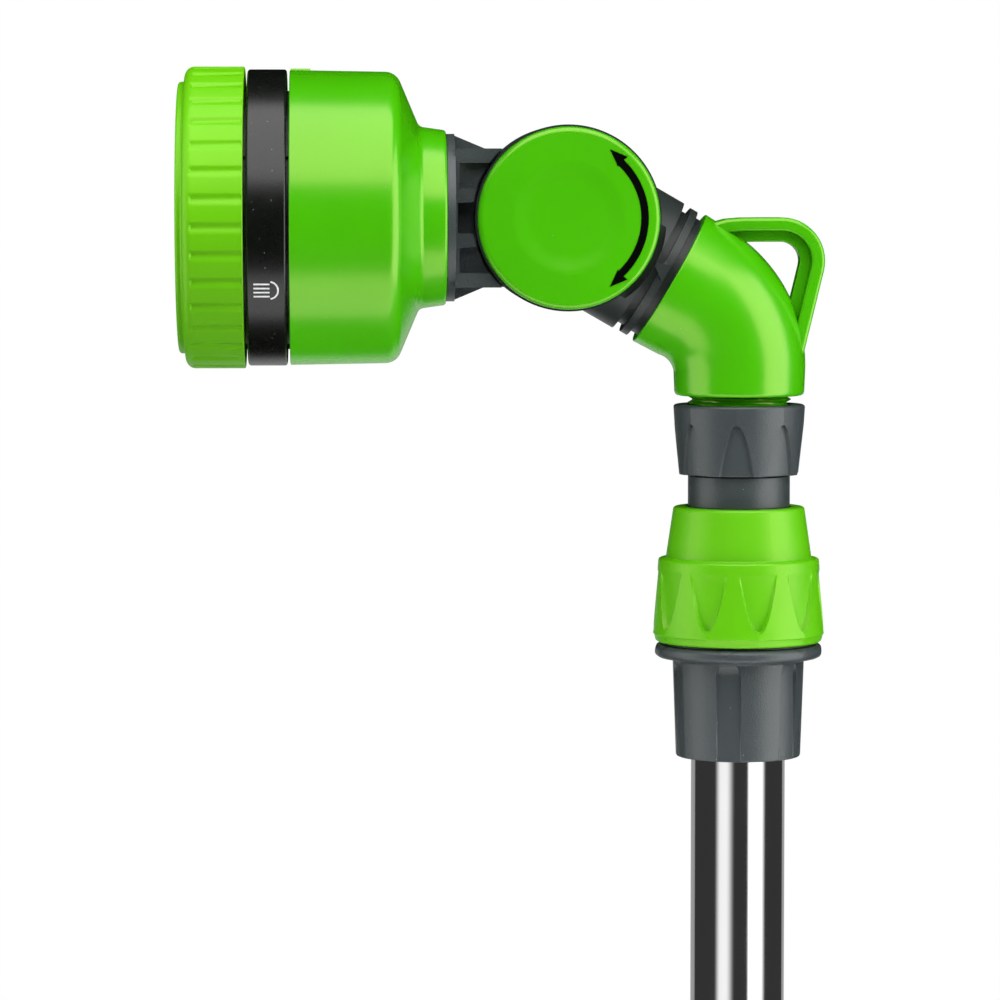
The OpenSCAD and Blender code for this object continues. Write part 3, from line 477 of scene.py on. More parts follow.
def make_grip_ring():
    """Ring with tapered finger grooves and the raised rim round the face."""
    start, end = stations("grip_ring")
    outer_r = head_radius("grip_ring")
    rim_r, rim_bore_r, rim_height, rim_foot, corner = 34.3, 31.8, 1.7, 0.4, 2.5
    seat_r, seat_depth = 33.9, 2.4
    grooves, phase, depth, half_width = 34, -93.6, 1.9, 1.75
    rear_ramp, front_ramp = 0.5, 2.4
    columns, wall_steps = 16, 20
    shoulder = end - rim_height
    groove_start, groove_end = start + 0.3, shoulder - 1.9
    across = {k + 2: sin(pi * (k / columns) ** 1.3) ** 2 for k in range(1, columns)}
    land = outer_r - 0.1

    outer = rounded([
        (DIAL_BORE_R, start), (outer_r, start, 0.35), (outer_r, shoulder, corner),
        (rim_r + rim_foot, shoulder), (rim_r, shoulder + rim_foot), (rim_r, end, 0.8),
        (rim_bore_r, end, 0.5), (rim_bore_r, shoulder + 0.3), (seat_r, shoulder - 0.1),
        (seat_r, shoulder - seat_depth), (DIAL_BORE_R, shoulder - seat_depth)])
    rows = []
    for i, (r, z) in enumerate(outer):
        following = outer[(i + 1) % len(outer)]
        on_wall = abs(r - outer_r) < 1e-6 and abs(following[0] - outer_r) < 1e-6
        rows.append((r, z, r > rim_r + 0.6))
        if on_wall:
            rows += [(r, z + (following[1] - z) * k / wall_steps, True) for k in range(1, wall_steps)]

    def offsets(z):
        w, period = degrees(half_width / land), 180 / grooves
        steps = [w * (2 * k / columns - 1) for k in range(columns + 1)]
        return [-period, -(period + w) / 2] + steps + [(period + w) / 2]

    def cut(column, z):
        rear = clamped((z - groove_start) / rear_ramp)
        front = clamped((groove_end - z) / front_ramp)
        return depth * across.get(column, 0) * rear * sin(pi / 2 * front)

    shape = carved(rows, grooves, phase, offsets, cut)
    MATT.append(piece("grip_ring", shape, HEAD, "dial", ["grip_ring"], DIAL_GREEN, 40))


def make_icon_ring():
    start, end = stations("icon_ring")
    radius, bore_edge, outer_edge = head_radius("icon_ring"), 0.2, 0.7
    profile = rounded([(DIAL_BORE_R, start, bore_edge), (radius, start, outer_edge),
                       (radius, end, outer_edge), (DIAL_BORE_R, end, bore_edge)])
    piece("icon_ring", lathe(profile, 192), HEAD, "dial", ["icon_ring"], BLACK)


def stroke(points, width):
    """A flat line of a given width through points, as left and right edges."""
    edges = []
    for i, point in enumerate(points):
        before = Vector(points[max(0, i - 1)])
        after = Vector(points[min(len(points) - 1, i + 1)])
        along = (after - before).normalized()
        side = Vector((-along.y, along.x)) * width / 2
        edges.append((Vector(point) + side, Vector(point) - side))
    return edges


def wrapped_stroke(points, width, radius, turn, middle, film=0.05):
    """A printed line laid round the icon ring. x runs to the front and y round the ring."""
    edges = stroke(points, width)
    verts, faces = [], []
    for left, right in edges:
        for r in (radius, radius + film):
            for at in (left, right):
                angle = radians(turn) + at.y / radius
                verts.append((r * cos(angle), r * sin(angle), middle + at.x))
    for i in range(len(edges) - 1):
        a, b = i * 4, (i + 1) * 4
        for j, k in ((0, 1), (1, 3), (3, 2), (2, 0)):
            faces.append((a + j, a + k, b + k, b + j))
    last = (len(edges) - 1) * 4
    faces += [(0, 2, 3, 1), (last, last + 1, last + 3, last + 2)]
    return verts, faces


def make_pattern_icons():
    """Three generic pictograms: a rose on the print side, a single jet and a mist."""
    start, end = stations("icon_ring")
    middle, radius = (start + end) / 2, head_radius("icon_ring") + 0.01
    line, jet_line, pitch, lift = 0.42, 1.1, 1.15, 1.8
    cap_centre, cap_r, cap_stretch = (-0.8, 0), 2.15, 1.12
    dash = (-0.85, 0.5, 1.8, 3.1)
    drop, drop_step = (-0.8, -0.3), 1.5
    cap = [(x, y * cap_stretch) for x, y in circle_arc(cap_centre, cap_r, 98, 262, 18)]
    rows = [(i - 1.5) * pitch for i in range(4)]
    rose = [[(x, y) for x in dash] for y in rows]
    jet = [[(x, 0) for x in dash]]
    mist = [[(x + drop_step * k, y) for x in drop] for y in rows for k in range(3)]
    shapes = []
    for turn, lines, width in ((-120, rose, line), (0, jet, jet_line), (120, mist, line)):
        shapes.append(wrapped_stroke(cap, line, radius, turn + lift, middle))
        shapes += [wrapped_stroke(points, width, radius, turn + lift, middle) for points in lines]
    piece("pattern_icons", joined(*shapes), HEAD, "dial", ["pattern_icons"], INK_WHITE)


def nozzle(height, radius=1.25, hole=0.62, back=0.4):
    """A soft raised nozzle with a hole."""
    profile = rounded([
        (hole, -back), (radius + 0.5, -back), (radius + 0.35, 0, 0.3), (radius - 0.15, height, 0.3),
        (hole + 0.1, height, 0.15), (hole, height - 0.3)])
    return lathe(profile, 20)


def make_face_plate():
    """Face with three rings of nozzles, a mist ring and a jet in the middle."""
    front, back = stations("grip_ring")[1] - 1.6, stations("face_plate")[0]
    field, mist_field, boss = front - 0.5, front - 0.7, front + 1.0
    plate_r, jet_r, boss_r, mist_r = 31.7, 2.4, 9.2, 12.5
    ring_counts, ring_r, ring_step, ring_twist = (18, 24, 30), 18.6, 5.5, 5
    plate = rounded([
        (jet_r, back), (plate_r, back), (plate_r, front - 0.3, 0.4), (30.9, front, 0.2),
        (30.3, field, 0.2), (17.0, field, 0.4), (16.4, front, 0.4), (15.6, front, 0.4),
        (15.0, mist_field, 0.4), (10.0, mist_field, 0.6), (boss_r, boss, 0.5), (3.6, boss, 0.4),
        (jet_r, front + 0.2)])
    holes = []
    for i, count in enumerate(ring_counts):
        place = (ring_r + ring_step * i, 0, field)
        holes += [turned_about_z(nozzle(0.9), 360 * k / count + ring_twist * i, place) for k in range(count)]
    mist = nozzle(0.6, 0.95, 0.4)
    holes += [turned_about_z(mist, 60 * k, (mist_r, 0, mist_field)) for k in range(6)]
    piece("face_plate", lathe(plate, 160), HEAD, "dial", ["face_plate"], GRAPHITE)
    piece("face_nozzles", joined(*holes), HEAD, "dial", [], RUBBER)


# ---------------------------------------------------------------- bell and knuckle

def make_bell():
    """The green bell with its stepped neck and the raised pointer."""
    start, end = stations("head_housing")
    bore_r, neck_r, cone_r, bell_r, mouth_r = 12.2, 22.1, 23.05, 36.8, 37.25
    cavity_r, step_r, cone, shoulder, step = 34.6, 20.9, start + 6.8, start + 12.6, start + 2.6
    outer = rounded([
        (bore_r, start), (neck_r, start, 0.9), (cone_r, cone, 2.0), (bell_r, shoulder, 4.2),
        (mouth_r, end, 0.35), (cavity_r + 0.2, end, 0.3), (cavity_r, end - 1),
        (cavity_r, start + 16.5, 3.0), (step_r + 0.1, start + 10.5, 2.0), (step_r, step), (bore_r, step)])
    foot_r, top_r, foot_half, top_half, length = 36.3, 37.6, 1.4, 0.8, 5.05
    pointer = rounded([(foot_r, -foot_half), (top_r, -top_half, 0.25), (top_r, top_half, 0.25),
                       (foot_r, foot_half)])
    pointer_end = end - 0.15
    shape = joined(lathe(outer, 224), prism(pointer, pointer_end - length, pointer_end))
    piece("bell", shape, HEAD, "head", ["head_housing"], GREEN)


def make_knuckles():
    softened("head_knuckle", "head_knuckle", "head", GRAPHITE, 0.35)
    # The arm's knuckle gets the darker graphite copy, which paints shade onto it.
    softened("arm_knuckle", "arm_knuckle", "arm", SHADED_GRAPHITE, 0.3)


# ---------------------------------------------------------------- pivot caps

CAP_R, CAP_FACE = 22.9, 19.5


def cap_shape():
    """A round cap whose face dips towards its middle."""
    dish_r, skirt_r, skirt_foot, back = 14.6, 20.6, 15.1, 17
    dish = [(0, 0.86), (4, 0.85), (9.052, 0.79), (10.4, 0.64), (11.6, 0.43), (12.7, 0.22), (13.7, 0.07)]
    face = [(r, CAP_FACE - deep) for r, deep in dish]
    edge = rounded([(dish_r, CAP_FACE), (CAP_R - 0.1, CAP_FACE - 0.12, 1.5), (CAP_R, skirt_foot, 0.2),
                    (skirt_r, skirt_foot)], False)
    return lathe([(0, back)] + face + edge + [(skirt_r, back)], 192)


def make_caps():
    piece("pivot_cap_front", cap_shape(), PRINT_SIDE, "arm", ["pivot_cap_front"], GREEN)
    piece("pivot_cap_rear", cap_shape(), REAR_SIDE, "arm", ["pivot_cap_rear"], GREEN)


def make_arrow():
    """Double-headed arc printed on the cap."""
    radius, half, span, film, steps = 18.9, 0.95, 47.0, 0.06, 48
    tip_r, tip_reach, barb_out, barb_in, barb_back = 19.9, 12.5, 21.1, 17.6, 0.6
    turns = [span * (2 * i / steps - 1) for i in range(steps + 1)]
    barb, tip = span - barb_back, span + tip_reach
    outline = [(radius + half, a) for a in turns]
    outline += [(barb_out, barb), (tip_r, tip), (barb_in, barb)]
    outline += [(radius - half, a) for a in reversed(turns)]
    outline += [(barb_in, -barb), (tip_r, -tip), (barb_out, -barb)]
    flat = [(r * cos(radians(a)), r * sin(radians(a))) for r, a in outline]
    shape = prism(flat, CAP_FACE - 0.1, CAP_FACE + film)
    piece("pivot_arrow", shape, PRINT_SIDE, "arm", ["pivot_arrow"], INK_BLACK)


# ---------------------------------------------------------------- elbow

ARM_DROP = 30
ELBOW_BEND_R = 23.0
ARM_LENGTH = 51.2
INLET_START, INLET_R, OUTLET_R = 30.4, 18.5, 16.5


def elbow_foot():
    """Height of the elbow's lower rim, just above the union nut."""
    return depths("union_nut")[0] + 2.3


def elbow_centreline():
    """Stations down the elbow: origin, side and up vectors, in millimetres from the pivot's height."""
    pivot = Vector((PIVOT.x * 1000, 0, 0))
    drop = radians(ARM_DROP)
    along = Vector((cos(drop), 0, -sin(drop)))
    bend = radians(90 - ARM_DROP)
    tangent = ELBOW_BEND_R * tan(bend / 2)
    corner = pivot + along * ARM_LENGTH
    enter = corner - along * tangent
    centre = enter + Vector((-sin(drop), 0, -cos(drop))) * ELBOW_BEND_R
    straight = ARM_LENGTH - tangent - INLET_START
    line = []
    for i in range(7):
        line.append((pivot + along * (INLET_START + straight * i / 7), along))
    for i in range(33):
        turn = Matrix.Rotation(bend * i / 32, 3, "Y")
        line.append((centre + turn @ (enter - centre), turn @ along))
    end = line[-1][0]
    for i in range(1, 7):
        line.append((Vector((0, 0, end.z + (elbow_foot() - end.z) * i / 6)), Vector((0, 0, -1))))
    return [(point, heading.cross(Vector((0, 1, 0))), Vector((0, 1, 0))) for point, heading in line]


def pipe_along(line, outer, inner, rim_in, rim_out):
    """A pipe with rounded rims whose outer radius is outer(t) along the line."""
    count = 112
    last = len(line) - 1
    rim_angles = [pi / 2 * k / 4 for k in range(5)]
    rows = []

    def row(i, radius, slide):
        origin, side, up = line[i]
        centre = origin - up.cross(side) * slide
        angles = [2 * pi * j / count for j in range(count)]
        rows.append([tuple(centre + (side * cos(a) + up * sin(a)) * radius) for a in angles])

    for angle in rim_angles:
        row(0, outer(0) - rim_in + rim_in * sin(angle), -rim_in + rim_in * cos(angle))
    for i in range(1, last):
        row(i, outer(i / last), 0)
    for angle in rim_angles:
        row(last, outer(1) - rim_out + rim_out * cos(angle), rim_out - rim_out * sin(angle))
    for i in range(last, -1, -1):
        row(i, inner, 0)
    verts = [v for r in rows for v in r]
    return verts, grid_faces(len(rows), count, True)


def loop_path(inset, fall):
    """Points along the hanging loop at an inset from its outer edge, from the elbow's back to its foot."""
    corner, radius, lean = (10.3, -10.9), 11 - inset, 13.5
    sags = ((-10.5, 2.9), (-7, 1.3), (-3.5, 0.35), (0, 0.06), (5, 0))
    top = [(x, corner[1] + radius - sag) for x, sag in sags]
    bend = circle_arc(corner, radius, 90, -lean, 14)
    foot = (bend[-1][0] - fall * tan(radians(lean)), bend[-1][1] - fall)
    side = [tuple(Vector(bend[-1]).lerp(Vector(foot), t)) for t in (0.25, 0.5, 0.75, 1)]
    return top + bend + side


def band(inset, thickness, width, edge, fall):
    """A strip that follows the loop, with rounded edges."""
    middle = loop_path(inset + thickness / 2, fall)
    stations_3d = []
    for i, point in enumerate(middle):
        before = Vector(middle[max(0, i - 1)])
        after = Vector(middle[min(len(middle) - 1, i + 1)])
        along = (after - before).normalized()
        out = Vector((-along.y, 0, along.x))
        stations_3d.append((Vector((point[0], 0, point[1])), Vector((0, 1, 0)), out))
    half_w, half_t = width / 2, thickness / 2
    section = rounded([(half_w, half_t, edge), (-half_w, half_t, edge), (-half_w, -half_t, edge * 0.6),
                       (half_w, -half_t, edge * 0.6)])
    return swept(stations_3d, section)


def helix_thread(top, bottom, crest, root, pitch, inner):
    """A male thread as one carved sleeve."""
    columns, rows_per_pitch, flank, root_flat = 96, 10, 2.76, 0.25
    rows = int((top - bottom) / pitch * rows_per_pitch)
    verts = []
    for i in range(rows + 1):
        z = top - (top - bottom) * i / rows
        for j in range(columns):
            phase = (z / pitch + j / columns) % 1
            lift = clamped(flank * (0.5 - abs(phase - 0.5)) - root_flat)
            r = root + (crest - root) * lift
            angle = 2 * pi * j / columns
            verts.append((r * cos(angle), r * sin(angle), z))
    for z in (bottom, top):
        angles = [2 * pi * j / columns for j in range(columns)]
        verts += [(inner * cos(a), inner * sin(a), z) for a in angles]
    return verts, grid_faces(rows + 3, columns, True)


def make_elbow():
    """The moulded elbow with its hanging loop and the thread at its foot."""
    bore_r, rim_in, rim_out = 14.05, 0.35, 0.9
    crest_r, root_r, pitch, thread_bore_r = 13.2, 12.0, 1.81, 9.0

    def outer(t):
        return INLET_R + (OUTLET_R - INLET_R) * t

    body = pipe_along(elbow_centreline(), outer, bore_r, rim_in, rim_out)
    thread = helix_thread(elbow_foot() + 0.5, depths("elbow")[1], crest_r, root_r, pitch, thread_bore_r)
    loop = joined(band(inset=0, thickness=3.4, width=12, edge=1.1, fall=21),
                  band(inset=3.1, thickness=3.1, width=5.4, edge=0.7, fall=19))
    piece("elbow", joined(body, loop, thread), STEM, "arm", ["elbow"], GREEN)


# ---------------------------------------------------------------- union

def make_union_nut():
    """Tapered nut with eight arched recesses, open at the foot."""
    top, bottom = depths("union_nut")
    top_r, count, phase = radius_of("union_nut"), 8, -97.3
    foot_r, thread_r, tail_r, middle_r = top_r - 1.15, 13.5, 11.0, 16
    arch_top, half_foot, depth, wall, lip = top - 4.7, 4.65, 0.95, 0.4, 5
    outline = rounded([(thread_r, top), (top_r, top, 0.7), (foot_r, bottom, 0.3), (tail_r, bottom),
                       (tail_r, bottom + lip), (thread_r, bottom + lip)])
    slope = (top_r - foot_r) / (top - bottom)
    steps = (0, 0.06, 0.12, 0.2, 0.3, 0.4, 0.5, 0.6, 0.7, 0.8, 0.9, 1)
    levels = [arch_top + 0.4] + [arch_top - (arch_top - bottom - 0.35) * t * t for t in steps]
    wall_rows = [(foot_r + (level - bottom) * slope, level) for level in levels]
    rows = carve_rows(outline, arch_top, thread_r + 0.1, wall_rows)

    def share(z):
        return clamped((arch_top - z) / (arch_top - bottom))

    def offsets(z):
        w = degrees(max(0.02, half_foot * sqrt(share(z))) / middle_r)
        edge = degrees(wall / middle_r) * min(1, share(z) * 6)
        half = 180 / count
        floor = max(w - edge, w * 0.3)
        return [-half, -(half + w) / 2, -w, -floor, -floor / 2, 0, floor / 2, floor, w, (half + w) / 2]

    def cut(column, z):
        return depth * min(1, share(z) * 30) if 3 <= column <= 7 else 0

    shape = carved(rows, count, phase, offsets, cut)
    piece("union_nut", shape, STEM, "union_nut", ["union_nut"], GRAPHITE, 26)


def make_collar():
    top, bottom = depths("tail_collar")
    bore_r, radius = 9.6, radius_of("tail_collar")
    profile = rounded([(bore_r, top), (radius, top, 0.3), (radius, bottom, 0.5), (bore_r, bottom)])
    piece("tail_collar", lathe(profile, 128), STEM, "slider", ["tail_collar"], GRAPHITE)


# ---------------------------------------------------------------- twist lock

def make_lock_nut():
    """Lock nut with a plain cone above and a scalloped skirt below."""
    top, bottom = depths("lock_nut")
    widest, count, phase = radius_of("lock_nut"), 10, -90 + 8.9
    skirt, ridge = top - 12.9, bottom + 2.2
    skirt_r, foot_r, middle_r, mouth_r, tube_r, body_r = widest - 1.4, widest - 0.1, 21, 13.4, 10.2, 15.8
    pocket_top, pocket_foot, half_top, wall = top - 16.2, top - 31.0, 5.1, 0.45
    outline = rounded([
        (mouth_r, top), (widest - 5.2, top, 0.8), (widest - 3.3, skirt, 0.25), (skirt_r, skirt - 0.35, 0.7),
        (foot_r - 0.05, ridge + 0.5), (foot_r + 0.08, ridge, 0.1), (foot_r - 0.25, ridge - 0.4),
        (foot_r - 0.7, bottom, 0.9), (body_r, bottom), (body_r, top - 14), (tube_r, top - 6),
        (tube_r, top - 2), (mouth_r, top - 1.8)])
    slope = (foot_r - skirt_r) / (skirt - ridge)
    steps = (1, 0.95, 0.9, 0.84, 0.78, 0.7, 0.62, 0.54, 0.46, 0.38, 0.3, 0.22, 0.15, 0.09, 0.04, 0)
    levels = [pocket_foot + (pocket_top - pocket_foot) * t * t for t in steps]
    levels = [pocket_top + 0.6] + levels + [pocket_foot - 0.3]
    wall_rows = [(skirt_r + (skirt - level) * slope, level) for level in levels]
    rows = carve_rows(outline, pocket_top, body_r + 2, wall_rows)

    def share(z):
        return clamped((z - pocket_foot) / (pocket_top - pocket_foot))

    def offsets(z):
        w = degrees(max(0.03, half_top * sqrt(share(z))) / middle_r)
        half = 180 / count
        edge = min(degrees(wall / middle_r), w * 0.5)
        floor = w - edge
        return [-half, -(half + w) / 2, -w, -floor, -floor * 0.6, 0, floor * 0.6, floor, w, (half + w) / 2]

    def cut(column, z):
        """Shallow at the pocket's top and deepest at its point."""
        deep = 0.3 + 1.25 * (1 - share(z)) ** 0.9
        ends = min(1, share(z) * 25) * clamped((pocket_top + 0.3 - z) / 1.5)
        return deep * ends * {3: 0.9, 4: 1, 5: 1, 6: 1, 7: 0.9}.get(column, 0)

    shape = carved(rows, count, phase, offsets, cut)
    piece("lock_nut", shape, STEM, "lock_nut", ["lock_nut"], LIGHT_GREEN, 26)


def make_lock_ring():
    top, bottom = depths("lock_ring")
    bore_r, radius, edge = 15.6, 19.9, 0.2
    profile = rounded([(bore_r, top), (radius, top, edge), (radius, bottom, edge), (bore_r, bottom)])
    piece("lock_ring", lathe(profile, 128), STEM, "lance", ["lock_ring"], RUBBER)


def make_lock_body():
    """Collar with a round flange, six tall pads and the pockets between them."""
    bottom = depths("lock_body")[1]
    flange_top = depths("lock_ring")[1] - 0.05
    flange_bottom, flange_r, top_r, foot_r = flange_top - 3.3, radius_of("lock_body"), 16.8, 15.9
    count, phase, half_pocket, narrowing, fillet = 6, -90 - 13.7, 11.25, 3.2, 3.2
    bore_r, edge, pad_top = 12.1, 0.12, flange_bottom - 0.9

    def wall_r(z):
        return top_r + (foot_r - top_r) * (flange_bottom - z) / (flange_bottom - bottom)

    upper = rounded([(bore_r, flange_top), (flange_r, flange_top, 1.3), (flange_r, flange_bottom, 1.5),
                     (top_r + 0.1, flange_bottom - 0.3, 1.6)])[:-1]
    upper = [(r, z, False) for r, z in upper if r > top_r + 0.4]
    steps = (0, 0.02, 0.045, 0.075, 0.11, 0.15, 0.22, 0.3, 0.4, 0.5, 0.6, 0.7, 0.8, 0.9, 1)
    levels = [pad_top - (pad_top - bottom - 0.4) * t for t in steps]
    wall = [(wall_r(z), z, True) for z in levels]
    lower = [(foot_r - edge, bottom + edge, False), (foot_r - 0.4, bottom, False),
             (bore_r - 0.05, bottom, False)]
    rows = [(bore_r, flange_top, False)] + upper + wall + lower

    def sweep_in(z):
        """The fillet under the flange narrows the pocket's top."""
        return max(0, 1 - (pad_top - z) / fillet) ** 2

    def offsets(z):
        half = 180 / count
        w = half_pocket - narrowing * sweep_in(z)
        right = [w / 2, w - 0.8, w, w + 0.5, (half + w) / 2]
        return [-half] + [-turn for turn in reversed(right)] + [0] + right

    def cut(column, z):
        deep = max(0, wall_r(z) - foot_r + edge) * (1 - 0.9 * sweep_in(z))
        return deep if 4 <= column <= 8 else 0

    shape = carved(rows, count, phase, offsets, cut)
    piece("lock_body", shape, STEM, "lance", ["lock_body"], GRAPHITE, 24)


# The mirror-like pieces, which have lights of their own.
TUBES = [frame["nodes"]["inner_tube"]]


def make_outer_tube():
    low, high = box_mm("outer_tube")
    bore_r, radius, edge = 11.0, 12.0, 0.2
    profile = rounded([(bore_r, low.z, edge), (radius, low.z, edge), (radius, high.z, edge),
                       (bore_r, high.z, edge)])
    TUBES.append(piece("outer_tube", lathe(profile, 192), BASE, "lance", ["outer_tube"], TUBE))


# ---------------------------------------------------------------- handle, valve and inlet

def make_gland():
    """Small nut over the tube seal with eight finger flutes."""
    low, high = box_mm("tube_gland")
    bottom, top, count, phase, depth = low.z, high.z, 8, -90, 0.75
    bore_r, radius, shoulder_r, top_r = 12.1, 17.0, 14.6, 13.6
    profile = rounded([(bore_r, bottom), (radius, bottom, 0.5), (radius, bottom + 6, 1.5),
                       (shoulder_r, top - 1, 1.0), (top_r, top, 0.4), (bore_r, top)])
    rows = []
    for i, (r, z) in enumerate(profile):
        outside = r > top_r + 0.2
        rows.append((r, z, outside))
        after = profile[(i + 1) % len(profile)]
        if abs(after[1] - z) > 2 and outside:
            rows += [(r + (after[0] - r) * t, z + (after[1] - z) * t, True) for t in (0.25, 0.5, 0.75)]

    def offsets(z):
        return [-180 / count, -16, -12, -11, -7, 0, 7, 11, 12, 16]

    def cut(column, z):
        level = clamped((z - bottom - 1.5) / 2.5) * clamped((top - 0.6 - z) / 2)
        return depth * level * {4: 0.75, 5: 1, 6: 0.75}.get(column, 0)

    shape = carved(rows, count, phase, offsets, cut)
    piece("tube_gland", shape, BASE, "lance", ["tube_gland"], GREEN, 30)


def make_handle():
    """The core that the grip sleeve sits on, with a collar at each end."""
    bottom, top = box_mm("handle_core")[0].z, box_mm("handle_core")[1].z
    sleeve_low, sleeve_high = box_mm("grip_sleeve")[0].z - 0.1, box_mm("grip_sleeve")[1].z + 0.1
    water_r, tube_r, spigot_r, seat_r, collar_r, top_r = 8, 12.1, 12.95, 13.6, 16.6, 17.2
    collar, tube_stop = sleeve_low - 4.9, top - 20
    core = rounded([
        (water_r, bottom), (spigot_r, bottom, 0.3), (spigot_r, collar), (collar_r, collar, 0.8),
        (collar_r, sleeve_low, 0.6), (seat_r, sleeve_low), (seat_r, sleeve_high),
        (top_r, sleeve_high, 0.5), (top_r, top, 0.8), (tube_r, top), (tube_r, tube_stop),
        (water_r, tube_stop)])
    piece("handle_core", lathe(core, 128), BASE, "lance", ["handle_core"], GRAPHITE)


def make_sleeve():
    """Soft grip with rows of small pads."""
    low, high = box_mm("grip_sleeve")
    rings, radius, bore_r, ridge, count = 14, 17.0, 13.65, 0.8, 18
    pad = ((0, 0), (0.08, 0.12), (0.13, 0.6), (0.2, 0.95), (0.35, 1), (0.65, 1), (0.8, 0.95), (0.87, 0.6),
           (0.92, 0.12))
    pitch = (high.z - low.z) / rings
    valley_r = radius - ridge
    outer = [(valley_r + ridge * lift, low.z + (i + t) * pitch, lift > 0.55)
             for i in range(rings) for t, lift in pad]
    rows = [(bore_r, low.z, False)] + outer + [(valley_r, high.z, False), (bore_r, high.z, False)]

    def offsets(z):
        return [-180 / count, -3.0, -1.6, -0.8, 0, 0.8, 1.6, 3.0]

    def cut(column, z):
        return ridge * 0.75 * {3: 0.9, 4: 1, 5: 0.9}.get(column, 0)

    shape = carved(rows, count, 0, offsets, cut)
    piece("grip_sleeve", shape, BASE, "lance", ["grip_sleeve"], GRIP, 35)


def make_valve():
    softened("valve_body", "valve_body", "lance", GREEN, 0.4)
    softened("valve_lever", "valve_lever", "valve", GRAPHITE, 0.5)
    softened("lever_screw", "lever_screw", "valve", STEEL, 0.15)
    softened("inlet_nipple", "inlet_nipple", "lance", GRAPHITE, 0.25)


for build in (
        make_grip_ring, make_icon_ring, make_pattern_icons, make_face_plate, make_bell, make_knuckles,
        make_caps, make_arrow, make_elbow, make_union_nut, make_collar, make_lock_nut, make_lock_ring,
        make_lock_body, make_outer_tube, make_gland, make_handle, make_sleeve, make_valve):
    build()


# ---------------------------------------------------------------- studio

FOCUS = Vector((PIVOT.x / 2, 0, PIVOT.z))


def soft_box(name, azimuth, elevation, distance, width, height, level, fade=(0.1, 0.1), dim=0.0, only=None):
    """A soft rectangular light aimed at the spray head, see-through for the others, with faded edges.

    Azimuth is counted from the camera's side to the right. Dim is the level kept at the outer end of the
    sideways fade, and only is a collection that says which pieces the light reaches."""
    turn, up = radians(azimuth), radians(elevation)
    offset = Vector((sin(turn) * cos(up), -cos(turn) * cos(up), sin(up))) * distance
    material, nodes, links, shader = new_material(name)
    nodes.remove(shader)
    glow, clear, both = (nodes.new("ShaderNode" + kind)
                         for kind in ("Emission", "BsdfTransparent", "AddShader"))
    links.new(glow.outputs["Emission"], both.inputs[0])
    links.new(clear.outputs["BSDF"], both.inputs[1])
    links.new(both.outputs["Shader"], nodes["Material Output"].inputs["Surface"])
    coordinates = nodes.new("ShaderNodeTexCoord")
    split = nodes.new("ShaderNodeSeparateXYZ")
    links.new(coordinates.outputs["Object"], split.inputs["Vector"])
    w, h = width / 2, height / 2
    strength = None
    for axis, start, end, low, high in (("X", w, w - fade[0] * width, dim * level, level),
                                        ("X", -w, -w + fade[1] * width, dim, 1),
                                        ("Y", -h, -0.42 * height, 0, 1), ("Y", h, 0.42 * height, 0, 1)):
        ramp = ranged(nodes, links, split.outputs[axis], low, high, start, end, smooth=True)
        strength = ramp if strength is None else multiplied(nodes, links, strength, ramp)
    links.new(strength, glow.inputs["Strength"])
    mesh = bpy.data.meshes.new(name)
    mesh.from_pydata([(-w, -h, 0), (w, -h, 0), (w, h, 0), (-w, h, 0)], [], [(0, 1, 2, 3)])
    mesh.materials.append(material)
    lamp = bpy.data.objects.new(name, mesh)
    lamp.location = FOCUS + offset
    lamp.rotation_euler = (-offset).to_track_quat("Z", "Y").to_euler()
    bpy.context.scene.collection.objects.link(lamp)
    lamp.visible_camera = lamp.visible_shadow = False
    lamp.light_linking.receiver_collection = only
    return lamp


def receivers(name, pieces, link_state):
    """A light's receivers: only the given pieces, or everything but them."""
    collection = bpy.data.collections.new(name)
    for obj in pieces:
        collection.objects.link(obj)
    for member in collection.collection_objects:
        member.light_linking.link_state = link_state
    return collection


def stage_material(name, colour, glow, strength):
    material, _, _, shader = new_material(name)
    shader.inputs["Base Color"].default_value = (*colour, 1)
    shader.inputs["Roughness"].default_value = 0.9
    shader.inputs["Emission Color"].default_value = (*glow, 1)
    shader.inputs["Emission Strength"].default_value = strength
    return material


def haze_material():
    """Clear in the middle and white towards the floor's edge."""
    material, nodes, links, shader = new_material("haze")
    nodes.remove(shader)
    clear, white, blend, radius = (nodes.new("ShaderNode" + kind) for kind in
                                   ("BsdfTransparent", "Emission", "MixShader", "VectorMath"))
    radius.operation = "LENGTH"
    links.new(nodes.new("ShaderNodeTexCoord").outputs["Object"], radius.inputs[0])
    links.new(ranged(nodes, links, radius.outputs["Value"], 0, 1, 0.55, 1.5), blend.inputs["Fac"])
    links.new(clear.outputs["BSDF"], blend.inputs[1])
    links.new(white.outputs["Emission"], blend.inputs[2])
    links.new(blend.outputs["Shader"], nodes["Material Output"].inputs["Surface"])
    return material


def stage_piece(name, profile, material, height=0):
    """A turned piece of the stage, out of sight of mirrors."""
    verts, faces = lathe(profile, 64, False)
    mesh = bpy.data.meshes.new(name)
    mesh.from_pydata(verts, [], faces)
    mesh.materials.append(material)
    obj = bpy.data.objects.new(name, mesh)
    obj.location.z = height
    obj.visible_glossy = False
    bpy.context.scene.collection.objects.link(obj)
    return obj


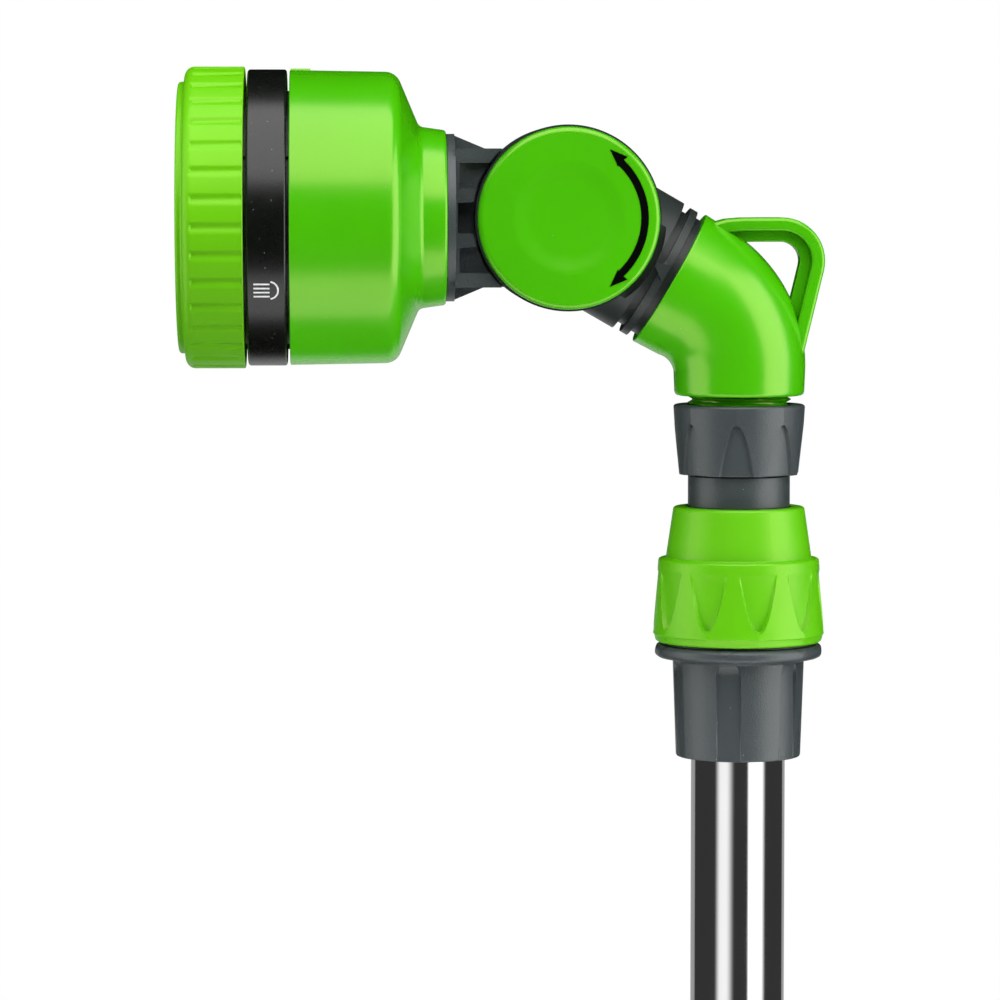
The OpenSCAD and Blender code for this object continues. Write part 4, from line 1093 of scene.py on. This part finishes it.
def make_backdrop():
    """A white dome that only the camera sees, and a pale round floor that fades into it."""
    radius, steps = 6.0, 24
    ground = cad_bounds[0][2] - 0.0005
    angles = [radians(-90 + 180 * i / steps) for i in range(steps + 1)]
    white = stage_material("backdrop_white", (0, 0, 0), (1, 1, 1), 1.0)
    dome = stage_piece("backdrop", [(radius * cos(a), radius * sin(a)) for a in angles], white)
    pale = stage_material("floor_pale", (0.7, 0.7, 0.7), (1, 1, 1), 0.05)
    floor = stage_piece("floor", [(0, 0), (0.3, 0), (0.8, 0), (1.6, 0)], pale, ground)
    rings = [(0.5, 0), (0.9, 0), (1.3, 0), (1.62, 0)]
    haze = stage_piece("haze", rings, haze_material(), ground + 0.0003)
    for obj in (dome, haze):
        obj.visible_diffuse = obj.visible_transmission = obj.visible_shadow = False
    return floor


def make_lights(floor):
    """Wide boxes for the mouldings, a separate set for the mirror-like tubes, and an even glow."""
    tubes = receivers("tubes_only", TUBES, "INCLUDE")
    others = receivers("all_but_tubes", TUBES, "EXCLUDE")
    lifted = receivers("reached_from_below", TUBES + MATT + [floor], "EXCLUDE")
    soft_box("left_box", -82, 0, 1.25, 1.15, 2.2, 1.9, only=others)
    soft_box("right_box", 66, 0, 1.25, 1.3, 2.2, 3.2, only=others)
    soft_box("top_box", 0, 62, 1.1, 1.7, 1.72, 3.0, only=others)
    soft_box("bounce_box", 0, -62, 0.5, 1.0, 0.383, 1.8, only=lifted)
    soft_box("back_box", 180, -24, 1.6, 1.5, 1.16, 0.6, only=others)
    fill = soft_box("fill_box", -10, 50, 1.3, 1.6, 1.6, 0.9, only=others)
    fill.visible_glossy = False
    soft_box("tube_left", -37, 0, 1.25, 1.17, 3.2, 1.42, (0.34, 0.42), 0.02, only=tubes)
    soft_box("tube_right", 43, 0, 1.25, 1.14, 3.2, 2.0, (0.14, 0.3), 0.02, only=tubes)
    soft_box("tube_back", 180, 0, 1.25, 2.7, 3.2, 0.45, only=tubes)
    for elevation in (-90, 90):
        soft_box("tube_ends", 0, elevation, 1.25, 3, 3, 0.5, only=tubes)
    for azimuth in (-90, 0, 90):
        soft_box("tube_haze", azimuth, 0, 2.2, 4.6, 5, 0.05, only=tubes)
    world = bpy.data.worlds.new("studio")
    world.use_nodes = True
    sky = world.node_tree.nodes["Background"]
    sky.inputs["Color"].default_value = (0.97, 0.99, 1.0, 1)
    sky.inputs["Strength"].default_value = 0.2
    world.cycles_visibility.glossy = False
    bpy.context.scene.world = world


def make_camera():
    """Level with the pivot, left of the tube, looking slightly right and down."""
    data = bpy.data.cameras.new("camera")
    data.lens, data.sensor_width = 162, 36
    data.clip_start, data.clip_end = 0.05, 30
    camera = bpy.data.objects.new("camera", data)
    distance, left, above = 1.143, -0.1017, 0.007
    pan, tilt = radians(2.04), radians(3.94)
    camera.location = Vector((left, -distance, PIVOT.z + above))
    aim = Vector((sin(pan) * cos(tilt), cos(pan) * cos(tilt), -sin(tilt)))
    camera.rotation_euler = aim.to_track_quat("-Z", "Y").to_euler()
    bpy.context.scene.collection.objects.link(camera)
    bpy.context.scene.camera = camera


make_lights(make_backdrop())
make_camera()
bpy.context.scene.view_settings.view_transform = "Standard"
